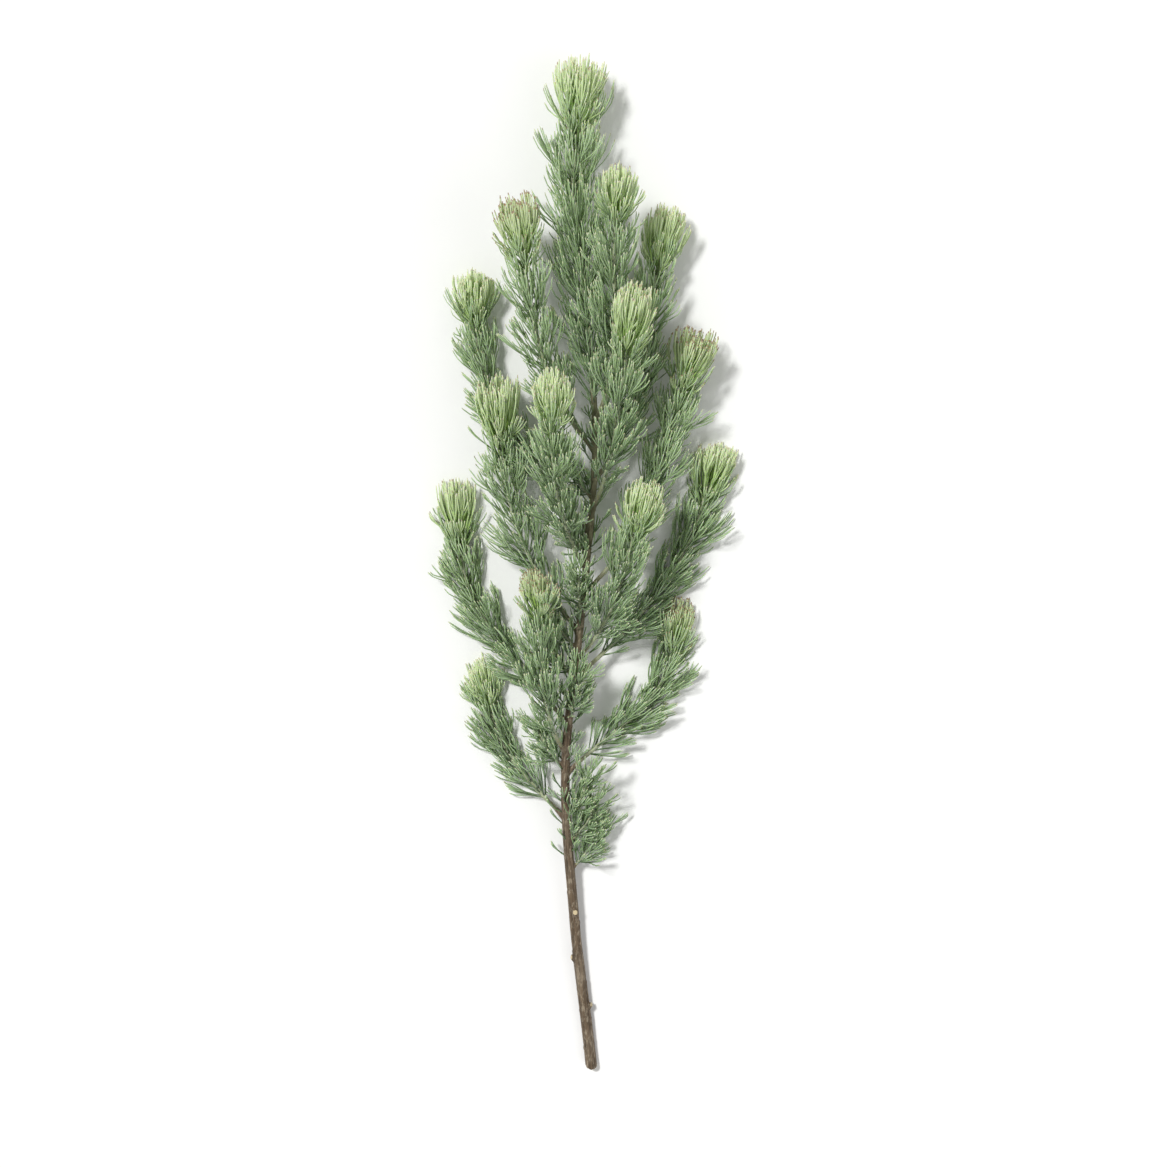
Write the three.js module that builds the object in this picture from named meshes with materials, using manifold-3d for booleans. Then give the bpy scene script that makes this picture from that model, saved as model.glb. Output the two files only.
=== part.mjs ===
// A cut stem of adenanthos (woolly bush), laid on its side.
// Millimetres, +Z up. It lies on z = 0 along Y, with its cut end at -Y and its tip at +Y.

import * as THREE from 'three';
import { mergeVertices } from 'three/addons/utils/BufferGeometryUtils.js';
import Module from 'manifold-3d';

const wasm = await Module();
wasm.setup();

const { degToRad, clamp, lerp } = THREE.MathUtils;

// The main axis, from the middle of the cut end to the foot of the tip's brush.
// Its low shoots lift it off the surface, and the tip sinks back a little.
const MAIN_AXIS = [
  [9, 0, 3.5], [6, 28, 3.6], [-3, 110, 8], [-9, 220, 17], [2, 330, 26], [11, 440, 31],
  [5, 540, 32], [-3, 610, 29], [-1, 646, 27],
];
const WOOD_ENDS = 480;            // along the axis: bark below, green leafy leader above
const STEM_RADIUS_CUT = 4.1;
const STEM_RADIUS_TOP = 2.0;
const STEM_TAPER = 0.9;
const CUT_SLANT = degToRad(32);

// Side shoots: where each leaves the main axis, where its leafy twig ends, the size of its brush.
// The first four lie on the surface at both sides of the weight, the rest arch over it.
const SIDE_SHOOTS = [
  { leaves: 184, ends: [-60, 256, 3.9], brush: 0.95 },
  { leaves: 216, ends: [63, 296, 4.1], brush: 1.0 },
  { leaves: 252, ends: [-80, 370, 4.5], brush: 1.1 },
  { leaves: 284, ends: [84, 400, 4.3], brush: 1.05 },
  { leaves: 232, ends: [-26, 328, 52], brush: 0.9 },
  { leaves: 318, ends: [-51, 440, 30], brush: 1.2 },
  { leaves: 300, ends: [36, 386, 58], brush: 1.0 },
  { leaves: 346, ends: [68, 476, 23], brush: 1.15 },
  { leaves: 362, ends: [-17, 456, 74], brush: 1.1 },
  { leaves: 388, ends: [-68, 520, 13], brush: 1.0 },
  { leaves: 404, ends: [31, 508, 69], brush: 1.2 },
  { leaves: 424, ends: [52, 558, 19], brush: 1.05 },
  { leaves: 444, ends: [-35, 566, 53], brush: 1.15 },
  { leaves: 464, ends: [24, 594, 60], brush: 0.95 },
];
const TWIG_RADIUS = 1.5;
const TWIG_TIP_RADIUS = 1.3;
const SHOOT_LEAVES_AT = degToRad(44);
const SHOOT_ENDS_AT = degToRad(9);
const SHOOT_STIFFNESS = 0.36;     // share of its chord over which a shoot keeps its first direction
const LIES_BELOW = 10;            // a shoot that ends lower than this lies flat on the surface

// Short leafy spurs straight on the wood, at some of the buds that climb it in a spiral
const FIRST_BUD = 146;
const BUD_STEP = 2.5;
const TUFT_SPACING = 19;
const GOLDEN_ANGLE = degToRad(137.5);
const TUFT_REACH = { out: 20, along: 30 };
const TUFT_ENDS_AT = degToRad(20);
const TUFT_RADIUS = 1.1;
const TUFT_TIP_RADIUS = 0.9;
const TUFT_ROOM = 2.4;

// Stubs of stripped twigs on the bare lower stem, by their place and their turn round it
const STUBS = [[42, 35], [78, 160], [112, 85]];
const STUB_RADIUS = 1.5;
const STUB_LENGTH = 3.5;

// Collars from which the shoots and spurs grow, measured out past the bark
const SHOOT_COLLAR = 6;
const TUFT_COLLAR = 2;
const COLLAR_FLARE = 1.5;         // its foot against its top
const COLLAR_OVER_TWIG = 1.15;
const COLLAR_COVERS = 1.3;        // stem radii of its curve that a collar takes up before it shows
const SEAM = 0.3;                 // clear space between pieces that meet

// Sides of the tubes, and the spacing of their rings
const STEM_SIDES = 8;
const STEM_RING_SPACING = 27;
const TWIG_SIDES = 5;
const TWIG_RING_SPACING = 10;
const LEADER_SIDES = 6;
const LEADER_RING_SPACING = 8.5;
const TUFT_RING_SPACING = 6;
const BRUSH_SIDES = 6;
const COLLAR_SIDES = 5;
const CURVE_PIECES = { wood: 16, twig: 8, spur: 3, collar: 2 };
const CURVE_TENSION = 0.5;
const SAME_POINT = 1e-4;          // points nearer than this are one

// The leaf segments are needles: three-sided, drawn out from a facet of what they grow from to a
// bend, and on to a point. Angles are from the twig, in degrees; share is the share of facets that
// carry one, and bareBelow the part of the twig without any.
const LEAF = { length: 25, bendsAt: 0.2, spread: 62, tipSpread: 38, share: 0.5, bareBelow: 0.15 };
const LEADER_LEAF = { length: 30, bendsAt: 0.2, spread: 62, tipSpread: 37, share: 0.5, bareBelow: 0 };
const TUFT_LEAF = { length: 20, bendsAt: 0.22, spread: 60, tipSpread: 34, share: 0.45, bareBelow: 0 };
const BRUSH_LEAF = { length: 24, bendsAt: 0.42, spread: 50, tipSpread: 13, share: 0.8, bareBelow: 0 };
const LEADER_BRUSH_LEAF = { ...BRUSH_LEAF, length: 21, tipSpread: 14 };
const NEEDLE_RADIUS = 0.5;
const SHARP_RADIUS = 0.4;         // what counts past the bend, where it narrows
const NEEDLE_LENGTHS = [0.84, 1.08];
const WANDER = { round: 8, spread: 5, tipSpread: 7 };
const MORE_WANDER = { round: 6, spread: 2, length: 0.025 };     // added with each new try
const NEEDLE_TRIES = 16;
const SEED = 21;
const NEEDLE_GAP = 0.25;
const ROOT_FLARE = 0.4;           // room for the needles' feet round a twig
const ROOT_ROOM = 1.6;            // the same round a needle's own root, towards other pieces
const WAIST_ROOM = 0.7;           // and round its bend, towards its own piece
const LOWEST_BEND = 0.75;         // needles that meet the surface bend along it
const LOWEST_TIP = 0.2;
const SURFACE_SLACK = 1.4;
const END_FACE_COSINE = 0.95;     // facets of a flat end grow nothing, nor does the underside near
const UNDERSIDE = { below: 1.5, facesDown: -0.5 };          // the surface
const FOOT = { near: 0.5, marked: 0.35 };     // the part of a needle's foot that isn't tested, or marked
const SORTING_CUBE = 15;
const NO_LENGTH = 1e-9;

// The dense heart of a standard brush, as [height, radius], and how its needles close to the top
const BRUSH_HEART = [[0, 1.5], [4.5, 3.4], [9.5, 5.0], [14.5, 5.2], [18.5, 3.6], [20.5, 0]];
const BRUSH_OPENING = [1.1, 0.3];
const BRUSH_CLOSING = 1.6;
const LEADER_BRUSH_SIZE = 1.4;

const BARK = new THREE.MeshStandardMaterial({ color: 0x7d6b52, roughness: 0.85, metalness: 0 });
const LEAVES = new THREE.MeshStandardMaterial({ color: 0x6d8467, roughness: 0.75, metalness: 0 });
const YOUNG_LEAVES = new THREE.MeshStandardMaterial({ color: 0xa4b878, roughness: 0.7, metalness: 0 });

function seededRandom(seed) {
  let state = seed;
  return () => {
    state = (state + 0x6d2b79f5) | 0;
    let mixed = Math.imul(state ^ (state >>> 15), 1 | state);
    mixed = (mixed + Math.imul(mixed ^ (mixed >>> 7), 61 | mixed)) ^ mixed;
    return ((mixed ^ (mixed >>> 14)) >>> 0) / 2 ** 32;
  };
}
const random = seededRandom(SEED);

function randomBetween(low, high) {
  return lerp(low, high, random());
}

// A direction turned from one way towards another, both of unit length and square to each other
function turned(from, towards, angle) {
  return from.clone().multiplyScalar(Math.cos(angle)).addScaledVector(towards, Math.sin(angle));
}

// What is left of a direction square to an axis
function squareTo(axis, direction) {
  return direction.clone().addScaledVector(axis, -direction.dot(axis)).normalize();
}

// Shortest distance between segments ab and cd
function segmentDistance(a, b, c, d) {
  const ab = b.clone().sub(a);
  const cd = d.clone().sub(c);
  const ca = a.clone().sub(c);
  const abab = ab.dot(ab);
  const cdcd = cd.dot(cd);
  const abcd = ab.dot(cd);
  const abca = ab.dot(ca);
  const cdca = cd.dot(ca);
  const parallel = abab * cdcd - abcd * abcd;
  let s = parallel > NO_LENGTH ? clamp((abcd * cdca - cdcd * abca) / parallel, 0, 1) : 0;
  const t = clamp((abcd * s + cdca) / cdcd, 0, 1);
  s = clamp((abcd * t - abca) / abab, 0, 1);
  return ca.addScaledVector(ab, s).addScaledVector(cd, -t).length();
}

// Everything that needles keep clear of, as rods { a, b, radius, owner } sorted into cubes of space
class Surroundings {
  constructor(cube) {
    this.cube = cube;
    this.cubes = new Map();
  }

  cubesRound(a, b, margin) {
    const box = new THREE.Box3().setFromPoints([a, b]).expandByScalar(margin);
    const low = box.min.divideScalar(this.cube).floor();
    const high = box.max.divideScalar(this.cube).floor();
    const keys = [];
    for (let x = low.x; x <= high.x; x += 1) {
      for (let y = low.y; y <= high.y; y += 1) {
        for (let z = low.z; z <= high.z; z += 1) keys.push(`${x},${y},${z}`);
      }
    }
    return keys;
  }

  add(rod) {
    for (const key of this.cubesRound(rod.a, rod.b, rod.radius)) {
      if (!this.cubes.has(key)) this.cubes.set(key, []);
      this.cubes.get(key).push(rod);
    }
  }

  isClear(a, b, radius, counts = () => true) {
    for (const key of this.cubesRound(a, b, radius + NEEDLE_GAP)) {
      for (const rod of this.cubes.get(key) ?? []) {
        if (!counts(rod)) continue;
        if (segmentDistance(a, b, rod.a, rod.b) < radius + rod.radius + NEEDLE_GAP) return false;
      }
    }
    return true;
  }
}
const surroundings = new Surroundings(SORTING_CUBE);

// Part of a curve, between two distances along it
function stretch(curve, from, to, pieces) {
  const length = curve.getLength();
  const points = [];
  for (let i = 0; i <= pieces; i += 1) {
    points.push(curve.getPointAt(lerp(from, to, i / pieces) / length));
  }
  return new THREE.CatmullRomCurve3(points, false, 'catmullrom', CURVE_TENSION);
}

// Frames at the given distances along a curve, turned as little as possible from one to the next
function framesAlong(curve, distances) {
  const length = curve.getLength();
  let normal = new THREE.Vector3(0, 0, 1);
  return distances.map((distance) => {
    const at = clamp(distance / length, 0, 1);
    const tangent = curve.getTangentAt(at);
    normal = squareTo(tangent, normal);
    return { centre: curve.getPointAt(at), tangent, normal, binormal: tangent.clone().cross(normal) };
  });
}

// A closed round surface along a curve: a lathe's rings, each turned half a side further than the
// last, so that its facets are even triangles. The profile holds [distance, radius], pole to pole.
function sweptSurface(curve, profile, sides) {
  const outline = profile.map(([along, radius]) => new THREE.Vector2(radius, along));
  const lathe = new THREE.LatheGeometry(outline, sides);
  lathe.deleteAttribute('normal');
  lathe.deleteAttribute('uv');
  const frames = framesAlong(curve, profile.map(([along]) => along));
  const position = lathe.getAttribute('position');
  for (let i = 0; i < position.count; i += 1) {
    const ring = i % profile.length;
    const side = Math.floor(i / profile.length) % sides;
    const angle = (2 * side + ring) * Math.PI / sides;
    const { centre, normal, binormal } = frames[ring];
    const point = centre.clone().addScaledVector(turned(normal, binormal, angle), profile[ring][1]);
    position.setXYZ(i, point.x, point.y, Math.max(point.z, 0));
  }
  const merged = mergeVertices(lathe, SAME_POINT);
  const points = [];
  for (let i = 0; i < merged.getAttribute('position').count; i += 1) {
    points.push(new THREE.Vector3().fromBufferAttribute(merged.getAttribute('position'), i));
  }
  const facets = [];
  for (let i = 0; i < merged.index.count; i += 3) {
    const facet = [0, 1, 2].map((corner) => merged.index.getX(i + corner));
    if (new Set(facet).size === 3) facets.push(facet);
  }
  return { curve, points, facets };
}

// The profile of a tube with flat ends, its rings about as far apart as asked
function tubeProfile(length, ringSpacing, radiusAt) {
  const stretches = Math.round(length / ringSpacing);
  const profile = [[0, 0]];
  for (let i = 0; i <= stretches; i += 1) {
    profile.push([length * i / stretches, radiusAt(i / stretches)]);
  }
  profile.push([length, 0]);
  return profile;
}

// A surface as a geometry that three.js and the solids understand
function surfaceGeometry({ points, facets }) {
  const geometry = new THREE.BufferGeometry();
  const coordinates = points.flatMap((point) => point.toArray());
  geometry.setAttribute('position', new THREE.Float32BufferAttribute(coordinates, 3));
  geometry.setIndex(facets.flat());
  return geometry;
}

// The rods that stand for a twig, a collar or a brush's heart among the surroundings
function heartRods(owner, curve, profile) {
  const rings = profile.filter(([, radius]) => radius > 0);
  const frames = framesAlong(curve, rings.map(([along]) => along));
  const rods = [];
  for (let i = 1; i < rings.length; i += 1) {
    const radius = Math.max(rings[i - 1][1], rings[i][1]) + ROOT_FLARE;
    rods.push({ a: frames[i - 1].centre, b: frames[i].centre, radius, owner, heart: true });
  }
  return rods;
}

// A facet's middle, the way out of it, and where along the twig it is
function facetPlace({ curve, points }, facet) {
  const [a, b, c] = facet.map((corner) => points[corner]);
  const middle = a.clone().add(b).add(c).divideScalar(3);
  const outward = b.clone().sub(a).cross(c.clone().sub(a)).normalize();
  const steps = 64;
  let at = 0;
  for (let i = 1; i <= steps; i += 1) {
    const [here, nearest] = [i / steps, at].map((u) => curve.getPointAt(u).distanceTo(middle));
    if (here < nearest) at = i / steps;
  }
  return { facet, middle, outward, at, tangent: curve.getTangentAt(at) };
}

// A random angle within so many degrees of nought, in radians
function wander(degrees) {
  return degToRad(randomBetween(-degrees, degrees));
}

// One needle's bend and tip. Later tries stray further from the facet's own way and end sooner.
function needleShape({ middle, outward, tangent, opening }, leaf, attempt) {
  const stray = wander(WANDER.round + MORE_WANDER.round * attempt);
  const radial = squareTo(tangent, outward).applyAxisAngle(tangent, stray);
  const more = wander(MORE_WANDER.spread * attempt);
  const spread = degToRad(leaf.spread * opening) + wander(WANDER.spread) + more;
  const tipSpread = degToRad(leaf.tipSpread * opening) + wander(WANDER.tipSpread) + more;
  const length = leaf.length * randomBetween(...NEEDLE_LENGTHS) * (1 - MORE_WANDER.length * attempt);
  const bend = middle.clone().addScaledVector(turned(tangent, radial, spread), length * leaf.bendsAt);
  bend.z = Math.max(bend.z, LOWEST_BEND);
  const onward = turned(tangent, radial, tipSpread);
  const tip = bend.clone().addScaledVector(onward, length * (1 - leaf.bendsAt));
  tip.z = Math.max(tip.z, LOWEST_TIP + random() * SURFACE_SLACK);
  return { bend, tip };
}

// The three points round a needle's bend, turned to follow the facet's corners with least twist
function needleWaist(corners, middle, { bend, tip }, radius = NEEDLE_RADIUS) {
  const shaft = tip.clone().sub(middle).normalize();
  const third = 2 * Math.PI / 3;
  const across = new THREE.Vector3();
  corners.forEach((corner, k) => {
    across.add(squareTo(shaft, corner.clone().sub(middle)).applyAxisAngle(shaft, -k * third));
  });
  across.setLength(radius);
  return corners.map((corner, k) => bend.clone().add(across.clone().applyAxisAngle(shaft, k * third)));
}

// Whether an edge goes through a triangle, other than at a corner that they share
function edgePierces(from, to, triangle) {
  if (triangle.some((corner) => corner.equals(from) || corner.equals(to))) return false;
  const ray = new THREE.Ray(from, to.clone().sub(from).normalize());
  const hit = ray.intersectTriangle(...triangle, false, new THREE.Vector3());
  return hit !== null && hit.distanceTo(from) <= from.distanceTo(to);
}

function trianglesCross(one, other) {
  return [0, 1, 2].some((k) => edgePierces(one[k], one[(k + 1) % 3], other)
    || edgePierces(other[k], other[(k + 1) % 3], one));
}

// The nine triangles of a needle on a facet with the given corners
function needleTriangles(corners, waist, tip) {
  return [0, 1, 2].flatMap((k) => {
    const next = (k + 1) % 3;
    return [
      [corners[k], corners[next], waist[next]],
      [corners[k], waist[next], waist[k]],
      [waist[k], waist[next], tip],
    ];
  });
}

// Whether a needle keeps its distance from all others
function keepsDistance(owner, { middle }, { bend, tip }) {
  const others = (rod) => rod.owner !== owner;
  const allButHeart = (rod) => rod.owner !== owner || !rod.heart;
  return surroundings.isClear(middle, bend, ROOT_ROOM, others)
    && surroundings.isClear(middle.clone().lerp(bend, FOOT.near), bend, NEEDLE_RADIUS, allButHeart)
    && surroundings.isClear(bend, tip, SHARP_RADIUS);
}

// Whether a needle of a given thickness would cross its own sides or its own piece
function crossesOwnPiece(surface, { facet, middle }, shape, radius) {
  const corners = facet.map((corner) => surface.points[corner]);
  const waist = needleWaist(corners, middle, shape, radius);
  const sides = needleTriangles(corners, waist, shape.tip);
  const crossed = (triangle) => sides.some((side) => trianglesCross(side, triangle));
  if (sides.some(crossed)) return true;
  const reach = new THREE.Box3().setFromPoints([...corners, ...waist, shape.tip]);
  return surface.facets.some((other) => {
    if (other === facet) return false;
    const own = other.map((corner) => surface.points[corner]);
    return reach.intersectsTriangle(new THREE.Triangle(...own)) && crossed(own);
  });
}

// Draws a facet out into a needle: a waist of three points at the bend, then the tip
function raiseNeedle(surface, { facet, middle }, shape) {
  const corners = facet.map((corner) => surface.points[corner]);
  const waist = [0, 1, 2].map((k) => surface.points.length + k);
  const tip = surface.points.length + 3;
  surface.points.push(...needleWaist(corners, middle, shape), shape.tip);
  surface.facets.splice(surface.facets.indexOf(facet), 1);
  surface.facets.push(...needleTriangles(facet, waist, tip));
}

// Covers a twig or a heart with needles, evenly: of its facets in order along it, one in every few
function growNeedles({ name: owner, surface, leaf, opening = [1, 1] }) {
  const places = surface.facets.map((facet) => facetPlace(surface, facet)).filter((place) => {
    const isEnd = Math.abs(place.outward.dot(place.tangent)) > END_FACE_COSINE;
    const isUnderside = place.middle.z < UNDERSIDE.below && place.outward.z < UNDERSIDE.facesDown;
    return !isEnd && !isUnderside && place.at > leaf.bareBelow;
  });
  places.sort((one, other) => one.at - other.at);
  places.forEach((place, i) => {
    if (Math.floor((i + 1) * leaf.share) === Math.floor(i * leaf.share)) return;
    place.opening = lerp(opening[0], opening[1], place.at ** BRUSH_CLOSING);
    for (let attempt = 0; attempt < NEEDLE_TRIES; attempt += 1) {
      const shape = needleShape(place, leaf, attempt);
      if (!keepsDistance(owner, place, shape)) continue;
      if (crossesOwnPiece(surface, place, shape, NEEDLE_RADIUS)) continue;
      if (crossesOwnPiece(surface, place, shape, WAIST_ROOM)) continue;
      raiseNeedle(surface, place, shape);
      const { bend, tip } = shape;
      const foot = place.middle.clone().lerp(bend, FOOT.marked);
      surroundings.add({ a: foot, b: bend, radius: NEEDLE_RADIUS, owner });
      surroundings.add({ a: bend, b: tip, radius: SHARP_RADIUS, owner });
      return;
    }
  });
}

// Solids for the joins and cuts in the wood
function asSolid(geometry) {
  const plain = mergeVertices(geometry, SAME_POINT);
  return new wasm.Manifold(new wasm.Mesh({
    numProp: 3,
    vertProperties: Float32Array.from(plain.getAttribute('position').array),
    triVerts: Uint32Array.from(plain.index.array),
  }));
}

function solidGeometry(solid) {
  const mesh = solid.getMesh();
  const geometry = new THREE.BufferGeometry();
  const coordinates = Float32Array.from(mesh.vertProperties);
  geometry.setAttribute('position', new THREE.BufferAttribute(coordinates, 3));
  geometry.setIndex(new THREE.BufferAttribute(Uint32Array.from(mesh.triVerts), 1));
  return geometry;
}

function piece(name, geometry, material) {
  const faceted = geometry.toNonIndexed();
  faceted.computeVertexNormals();
  const mesh = new THREE.Mesh(faceted, material);
  mesh.name = name;
  return mesh;
}

const mainPoints = MAIN_AXIS.map((point) => new THREE.Vector3(...point));
const mainAxis = new THREE.CatmullRomCurve3(mainPoints, false, 'catmullrom', CURVE_TENSION);
const mainLength = mainAxis.getLength();

// The wood's radius at a distance from the cut end
function stemRadius(along) {
  return lerp(STEM_RADIUS_CUT, STEM_RADIUS_TOP, (along / WOOD_ENDS) ** STEM_TAPER);
}

// A shoot's curve: it leaves the axis at an angle, then turns to run nearly along it
function shootCurve(leaves, end, endsAt) {
  const root = mainAxis.getPointAt(leaves / mainLength);
  const along = mainAxis.getTangentAt(leaves / mainLength);
  const chord = end.clone().sub(root);
  const outward = squareTo(along, chord);
  const final = turned(along, outward, endsAt);
  if (end.z < LIES_BELOW) final.setZ(0).normalize();
  const reach = SHOOT_STIFFNESS * chord.length();
  const first = root.clone().addScaledVector(turned(along, outward, SHOOT_LEAVES_AT), reach);
  return new THREE.CubicBezierCurve3(root, first, end.clone().addScaledVector(final, -reach), end);
}

// A spur's curve, turned round the stem by an angle: 0 to +X, a quarter turn up
function spurCurve(leaves, angle) {
  const root = mainAxis.getPointAt(leaves / mainLength);
  const end = root.clone().add(new THREE.Vector3(
    TUFT_REACH.out * Math.cos(angle), TUFT_REACH.along, TUFT_REACH.out * Math.sin(angle),
  ));
  return shootCurve(leaves, end, TUFT_ENDS_AT);
}

// Adds the collar's size to a shoot, and where its green twig starts, just past the collar
function withCollar(shoot, collarLength) {
  const collarReach = stemRadius(shoot.leaves) * COLLAR_COVERS + collarLength;
  return { ...shoot, collarReach, starts: collarReach + SEAM };
}

function collarSurface({ curve, collarReach, radius }) {
  const topRadius = radius * COLLAR_OVER_TWIG;
  const profile = tubeProfile(collarReach, collarReach, (at) => topRadius * lerp(COLLAR_FLARE, 1, at));
  return sweptSurface(stretch(curve, 0, collarReach, CURVE_PIECES.collar), profile, COLLAR_SIDES);
}

// A block that cuts the stem's foot off at a slant
function slantingCut() {
  const size = 40;
  const block = new THREE.BoxGeometry(size, size, size);
  block.deleteAttribute('normal');
  block.deleteAttribute('uv');
  block.translate(0, -size / 2, 0);
  block.rotateX(CUT_SLANT);
  block.translate(MAIN_AXIS[0][0], STEM_RADIUS_CUT * Math.tan(CUT_SLANT), MAIN_AXIS[0][2]);
  return asSolid(block);
}

const woodCurve = stretch(mainAxis, 0, WOOD_ENDS, CURVE_PIECES.wood);
const woodProfile = tubeProfile(WOOD_ENDS, STEM_RING_SPACING, (at) => stemRadius(at * WOOD_ENDS));

// The wood with the collars and stubs of all that grows from it
function woodyStem(shoots) {
  let solid = asSolid(surfaceGeometry(sweptSurface(woodCurve, woodProfile, STEM_SIDES)));
  for (const shoot of shoots) solid = solid.add(asSolid(surfaceGeometry(collarSurface(shoot))));
  return piece('woody_stem', solidGeometry(solid.subtract(slantingCut())), BARK);
}

// The green, leafy part of a shoot between two distances along it
function leafyTwig(name, curve, [from, to], radii, sides, ringSpacing, leaf) {
  const part = stretch(curve, from, to, CURVE_PIECES.twig);
  const profile = tubeProfile(part.getLength(), ringSpacing, (at) => lerp(radii[0], radii[1], at));
  return { name, profile, surface: sweptSurface(part, profile, sides), leaf, material: LEAVES };
}

// The young head at a shoot's end: a dense heart whose needles open round it and close over it
function brush(name, end, way, size, leaf) {
  const base = end.clone().addScaledVector(way, SEAM);
  const top = base.clone().addScaledVector(way, BRUSH_HEART.at(-1)[0] * size);
  const profile = [[0, 0], ...BRUSH_HEART].map(([height, radius]) => [height * size, radius * size]);
  const sized = { ...leaf, length: leaf.length * size };
  const surface = sweptSurface(new THREE.LineCurve3(base, top), profile, BRUSH_SIDES);
  return { name, profile, surface, leaf: sized, opening: BRUSH_OPENING, material: YOUNG_LEAVES };
}

function numbered(stem, i) {
  return `${stem}_${String(i + 1).padStart(2, '0')}`;
}

const sideShoots = SIDE_SHOOTS.map(({ leaves, ends, brush: size }, i) => {
  const name = numbered('side_shoot', i);
  const curve = shootCurve(leaves, new THREE.Vector3(...ends), SHOOT_ENDS_AT);
  return withCollar({ name, curve, leaves, size, radius: TWIG_RADIUS }, SHOOT_COLLAR);
});
const stubs = STUBS.map(([leaves, turn]) => (
  withCollar({ curve: spurCurve(leaves, degToRad(turn)), leaves, radius: STUB_RADIUS }, STUB_LENGTH)
));

// The heads of all shoots, then their leafy twigs, as surfaces that are still bare
function bareShoots() {
  const leaderEnd = mainAxis.getPointAt(1);
  const leaderWay = mainAxis.getTangentAt(1);
  const heads = sideShoots.map(({ name, curve, size }) => (
    brush(`${name}_brush`, curve.getPointAt(1), curve.getTangentAt(1), size, BRUSH_LEAF)));
  const twigs = sideShoots.map(({ name, curve, starts }) => (
    leafyTwig(`${name}_leaves`, curve, [starts, curve.getLength()], [TWIG_RADIUS, TWIG_TIP_RADIUS],
      TWIG_SIDES, TWIG_RING_SPACING, LEAF)));
  return [
    brush('leader_brush', leaderEnd, leaderWay, LEADER_BRUSH_SIZE, LEADER_BRUSH_LEAF),
    ...heads,
    leafyTwig('leader_leaves', mainAxis, [WOOD_ENDS + SEAM, mainLength], [STEM_RADIUS_TOP, TWIG_RADIUS],
      LEADER_SIDES, LEADER_RING_SPACING, LEADER_LEAF),
    ...twigs,
  ];
}

// The spurs follow the buds, which climb the stem in a spiral. One grows at each bud that points
// up or sideways and has room, some way above the last spur.
function placeSpurs() {
  const spurs = [];
  const offWood = (rod) => rod.owner !== 'woody_stem';
  for (let bud = 0; FIRST_BUD + BUD_STEP * bud < WOOD_ENDS - TUFT_REACH.along; bud += 1) {
    const leaves = FIRST_BUD + BUD_STEP * bud;
    const angle = bud * GOLDEN_ANGLE;
    const tooNear = spurs.length > 0 && leaves - spurs.at(-1).leaves < TUFT_SPACING;
    if (tooNear || Math.sin(angle) < 0) continue;
    const name = numbered('tuft', spurs.length);
    const curve = spurCurve(leaves, angle);
    const spur = withCollar({ name, curve, leaves, radius: TUFT_RADIUS }, TUFT_COLLAR);
    const green = stretch(spur.curve, spur.starts, spur.curve.getLength(), CURVE_PIECES.spur);
    const profile = tubeProfile(green.getLength(), TUFT_RING_SPACING, () => TUFT_RADIUS);
    const rods = heartRods(name, green, profile);
    const hasRoom = ({ a, b, radius }) => surroundings.isClear(a, b, radius + TUFT_ROOM, offWood);
    if (!rods.every(hasRoom)) continue;
    rods.forEach((rod) => surroundings.add(rod));
    spurs.push(spur);
  }
  return spurs;
}

const shoots = bareShoots();
const hearts = [
  ...heartRods('woody_stem', woodCurve, woodProfile),
  ...sideShoots.flatMap(({ curve, collarReach, radius }) => (
    heartRods('collar', curve, tubeProfile(collarReach, collarReach, () => radius * COLLAR_FLARE)))),
  ...shoots.flatMap(({ name, surface, profile }) => heartRods(name, surface.curve, profile)),
];
hearts.forEach((rod) => surroundings.add(rod));
const spurs = placeSpurs();
const tufts = spurs.map(({ name, curve, starts }) => (
  leafyTwig(name, curve, [starts, curve.getLength()], [TUFT_RADIUS, TUFT_TIP_RADIUS],
    TWIG_SIDES, TUFT_RING_SPACING, TUFT_LEAF)));

const group = new THREE.Group();
group.add(woodyStem([...sideShoots, ...spurs, ...stubs]));
for (const part of [...shoots, ...tufts]) {
  growNeedles(part);
  group.add(piece(part.name, surfaceGeometry(part.surface), part.material));
}

// The origin is the middle of the whole, on the surface that it lies on
const extent = new THREE.Box3().setFromObject(group);
const middle = extent.getCenter(new THREE.Vector3());
for (const mesh of group.children) mesh.geometry.translate(-middle.x, -middle.y, -extent.min.z);

export default group;
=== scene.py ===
"""A cut stem of adenanthos (woolly bush), laid on its side: bark, felted twigs, forked leaves, young heads.

It runs as a script. Lengths in the settings are millimetres, and the meshes are in metres.
"""

import math

import bmesh
import bpy
import numpy as np
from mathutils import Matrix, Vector


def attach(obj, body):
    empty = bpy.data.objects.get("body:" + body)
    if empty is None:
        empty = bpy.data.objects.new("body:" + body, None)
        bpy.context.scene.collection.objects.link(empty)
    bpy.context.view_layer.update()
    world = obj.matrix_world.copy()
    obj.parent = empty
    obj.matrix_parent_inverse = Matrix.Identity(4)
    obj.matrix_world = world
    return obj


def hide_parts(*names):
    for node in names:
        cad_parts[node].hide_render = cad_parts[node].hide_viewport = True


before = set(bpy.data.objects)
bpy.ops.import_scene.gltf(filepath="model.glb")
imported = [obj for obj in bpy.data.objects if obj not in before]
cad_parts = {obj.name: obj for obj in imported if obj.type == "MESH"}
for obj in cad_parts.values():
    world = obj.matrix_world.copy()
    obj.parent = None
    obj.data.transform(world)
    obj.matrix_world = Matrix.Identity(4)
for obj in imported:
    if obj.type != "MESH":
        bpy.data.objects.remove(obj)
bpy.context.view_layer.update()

bl_info = {
    "name": "Adenanthos stem",
    "version": (1, 0, 0),
    "blender": (4, 5, 0),
    "location": "3D View > Sidebar > Stem",
    "description": "Builds a cut stem of adenanthos in the frame of its solid model",
    "category": "Add Mesh",
}

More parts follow.
